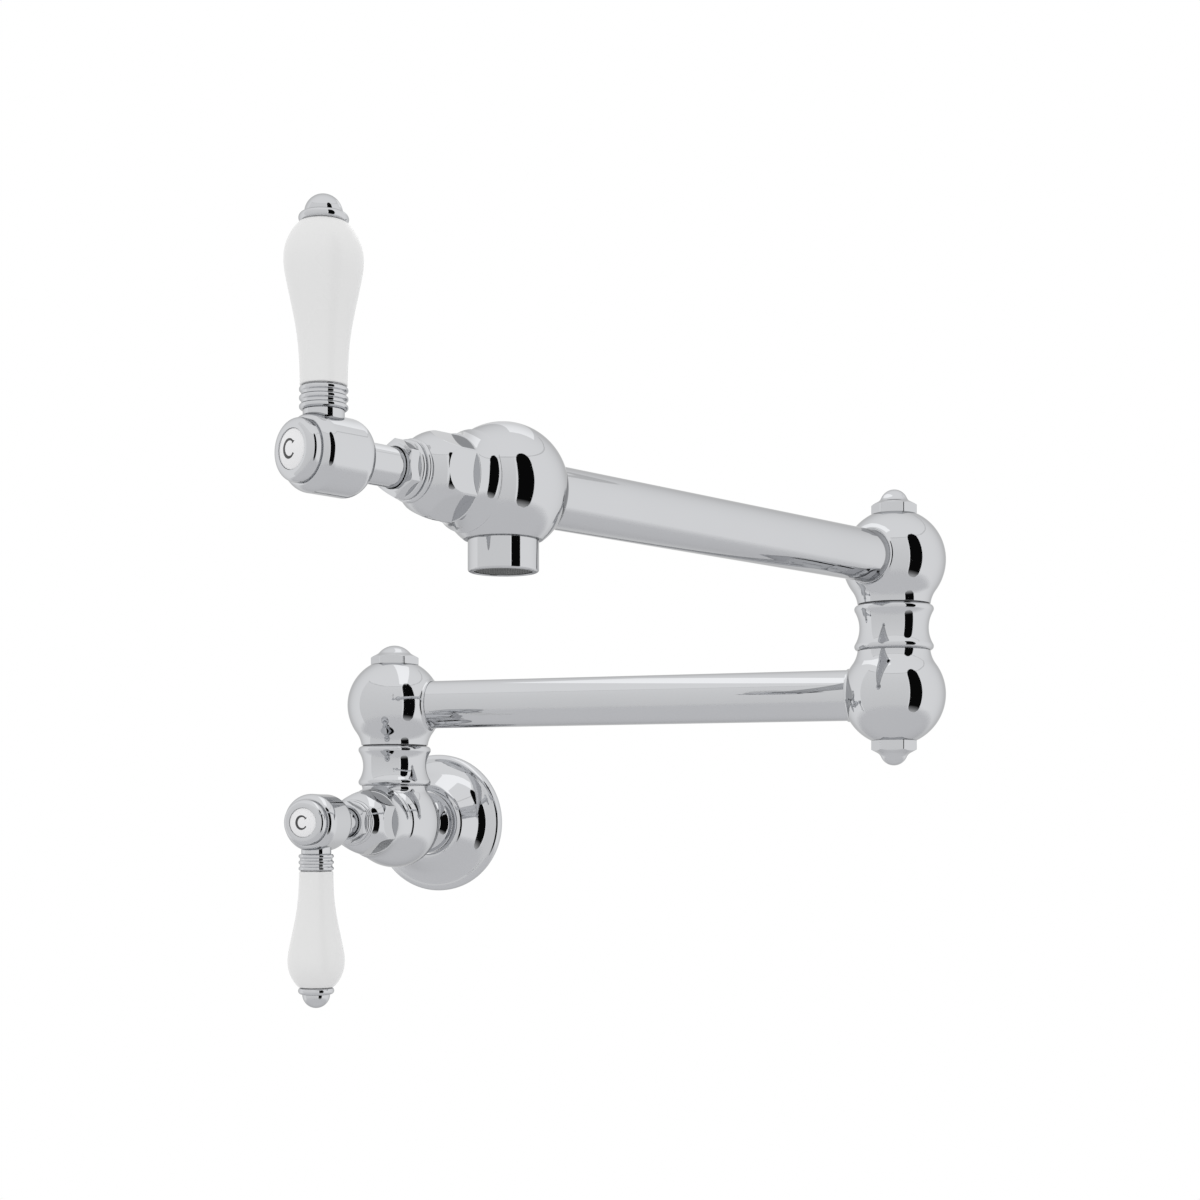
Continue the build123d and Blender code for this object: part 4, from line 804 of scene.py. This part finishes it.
# %% Floor, flats and softbox
floor_drop, floor_radius, floor_fade = 6.0, 13.5, 7.4
flat_distance, flag_distance = 30.0, 7.25
camera_turn = np.radians(18.67)
camera_offset = np.array((0.3714, -0.7979, 0.0))
camera_place = body_centre + camera_offset
set_centre = np.array((0.1, -0.15, 0.06))
card_columns = 80
panel_left, panel_right, panel_foot, panel_head, panel_greys = -89, 25, -40, 43, (0.79, 0.92)
edge_right, edge_head, edge_grey = 150, 44.4, 0.74
flag_left, flag_right, flag_foot, flag_fade, flag_head = 28, 57.5, -39, -26, 50
flag_grey, flag_foot_grey, flag_head_round, flag_foot_round = 0.004, 0.5, 13.0, 12.0


def plain_material(name, low, high, base, top):
    """Even glow that runs from one grey at height base to another at height top."""
    material = bpy.data.materials.new(name)
    material.use_nodes = True
    tree = material.node_tree
    tree.nodes.remove(tree.nodes["Principled BSDF"])
    place = add_node(tree, "ShaderNodeTexCoord").outputs["Object"]
    height = add_node(tree, "ShaderNodeSeparateXYZ", {"Vector": place})
    grey = add_node(tree, "ShaderNodeMapRange", {
        "Value": height.outputs["Z"], "From Min": base, "From Max": top, "To Min": low, "To Max": high})
    glow = add_node(tree, "ShaderNodeEmission", {"Strength": grey.outputs["Result"]})
    tree.links.new(glow.outputs[0], tree.nodes["Material Output"].inputs["Surface"])
    return material


def flat_card(name, distance, left, right, bottom, top, low, high, corner=0.0, foot=0.0):
    """Part of a far cylinder round the tap: point(u, v) = centre + d (cos u toward + sin u right +
    tan s(u, v) up), with u between two bearings from the camera's direction and s between two
    slopes. Within `corner` degrees of its sides the top slope falls along a quarter circle, and
    within `foot` degrees the bottom slope rises along another."""
    toward = np.array((np.sin(camera_turn), -np.cos(camera_turn), 0.0))
    right_way = np.array((np.cos(camera_turn), np.sin(camera_turn), 0.0))
    u = np.linspace(left, right, card_columns)
    inset = np.minimum(u - left, right - u)
    fall = [r - np.sqrt(r**2 - np.clip(r - inset, 0, r)**2) for r in (foot, corner)]
    slope = np.radians(np.stack((bottom + fall[0], top - fall[1])))
    ring = np.outer(np.cos(np.radians(u)), toward) + np.outer(np.sin(np.radians(u)), right_way)
    points = set_centre + distance * (ring + np.tan(slope)[..., None] * UP)
    k = np.arange(len(u) - 1)
    mesh = bpy.data.meshes.new(name)
    mesh.from_pydata(points.reshape(-1, 3), (), np.column_stack((k, k + len(u), k + len(u) + 1, k + 1)))
    card = bpy.data.objects.new(name, mesh)
    bpy.context.scene.collection.objects.link(card)
    heights = set_centre[2] + distance * np.tan(np.radians((bottom, top)))
    mesh.materials.append(plain_material(name, low, high, *heights))
    card.visible_camera = False
    card.visible_diffuse = False
    return card


flat_card("grey_flat", flat_distance, panel_left, panel_right, panel_foot, panel_head, *panel_greys)
flat_card("grey_flat_edge", flat_distance, panel_left, edge_right, panel_head, edge_head, edge_grey,
          edge_grey)
flat_card("black_flag", flag_distance, flag_left, flag_right, flag_fade, flag_head, flag_grey, flag_grey,
          corner=flag_head_round)
flat_card("black_flag_foot", flag_distance, flag_left, flag_right, flag_foot, flag_fade, flag_foot_grey,
          flag_grey, foot=flag_foot_round)

floor_mesh = bpy.data.meshes.new("floor")
floor_middle = np.array((set_centre[0], set_centre[1], -floor_drop))
floor_corners = floor_middle + floor_radius * np.array(((-1, -1, 0), (1, -1, 0), (1, 1, 0), (-1, 1, 0)))
floor_mesh.from_pydata(floor_corners, (), ((0, 1, 2, 3),))
floor = bpy.data.objects.new("floor", floor_mesh)
bpy.context.scene.collection.objects.link(floor)
floor_paint = bpy.data.materials.new("floor")
floor_paint.use_nodes = True
floor_tree = floor_paint.node_tree
floor_shader = floor_tree.nodes["Principled BSDF"]
floor_shader.inputs["Base Color"].default_value = (0.72, 0.72, 0.73, 1)
floor_shader.inputs["Roughness"].default_value = 0.9
floor_place = add_node(floor_tree, "ShaderNodeTexCoord").outputs["Object"]
away = add_node(floor_tree, "ShaderNodeVectorMath", {0: floor_place, 1: floor_middle}, operation="DISTANCE")
fade = add_node(floor_tree, "ShaderNodeMapRange", {
    "Value": away.outputs["Value"], "From Min": floor_fade, "From Max": floor_radius,
    "To Min": 1.0, "To Max": 0.0}, interpolation_type="SMOOTHSTEP")
floor_tree.links.new(fade.outputs["Result"], floor_shader.inputs["Alpha"])
floor_mesh.materials.append(floor_paint)

softbox = bpy.data.lights.new("softbox", "AREA")
softbox.shape = "RECTANGLE"
softbox.size, softbox.size_y = 0.1, 0.33
softbox_glow = 0.33
softbox.energy = softbox_glow * np.pi * softbox.size * softbox.size_y
lamp = bpy.data.objects.new("softbox", softbox)
lamp.location = (0.09, -0.07, 0.31)
lamp.rotation_euler = (0.0, 0.0, np.radians(37))
lamp.visible_camera = False
bpy.context.scene.collection.objects.link(lamp)
print("softbox", round(softbox.energy, 3), "W")

# %% [markdown]
# The white surround is the world itself, at strength 1, for every ray: the camera sees it as the
# background, the metal mirrors it, and it lights the porcelain evenly, so a colour renders about
# as it is written. A lit backdrop could be built instead, but it would need far more light.

# %% World and view settings
world = bpy.data.worlds.new("white_surround")
world.use_nodes = True
world.node_tree.nodes["Background"].inputs["Color"].default_value = (1, 1, 1, 1)
world.node_tree.nodes["Background"].inputs["Strength"].default_value = 1.0
bpy.context.scene.world = world
bpy.context.scene.view_settings.view_transform = "Standard"

# %% [markdown]
# The camera stands level with the wall valve, turned a little to the left, and its view is shifted
# up instead of tilted, which keeps upright lines upright as in the photograph.

# %% Camera
lens = bpy.data.cameras.new("camera")
lens.lens, lens.sensor_width = 55.87, 36.0
lens.shift_y = 0.1855
camera = bpy.data.objects.new("camera", lens)
camera.location = camera_place
camera.rotation_euler = (np.pi / 2, 0.0, camera_turn)
bpy.context.scene.collection.objects.link(camera)
bpy.context.scene.camera = camera
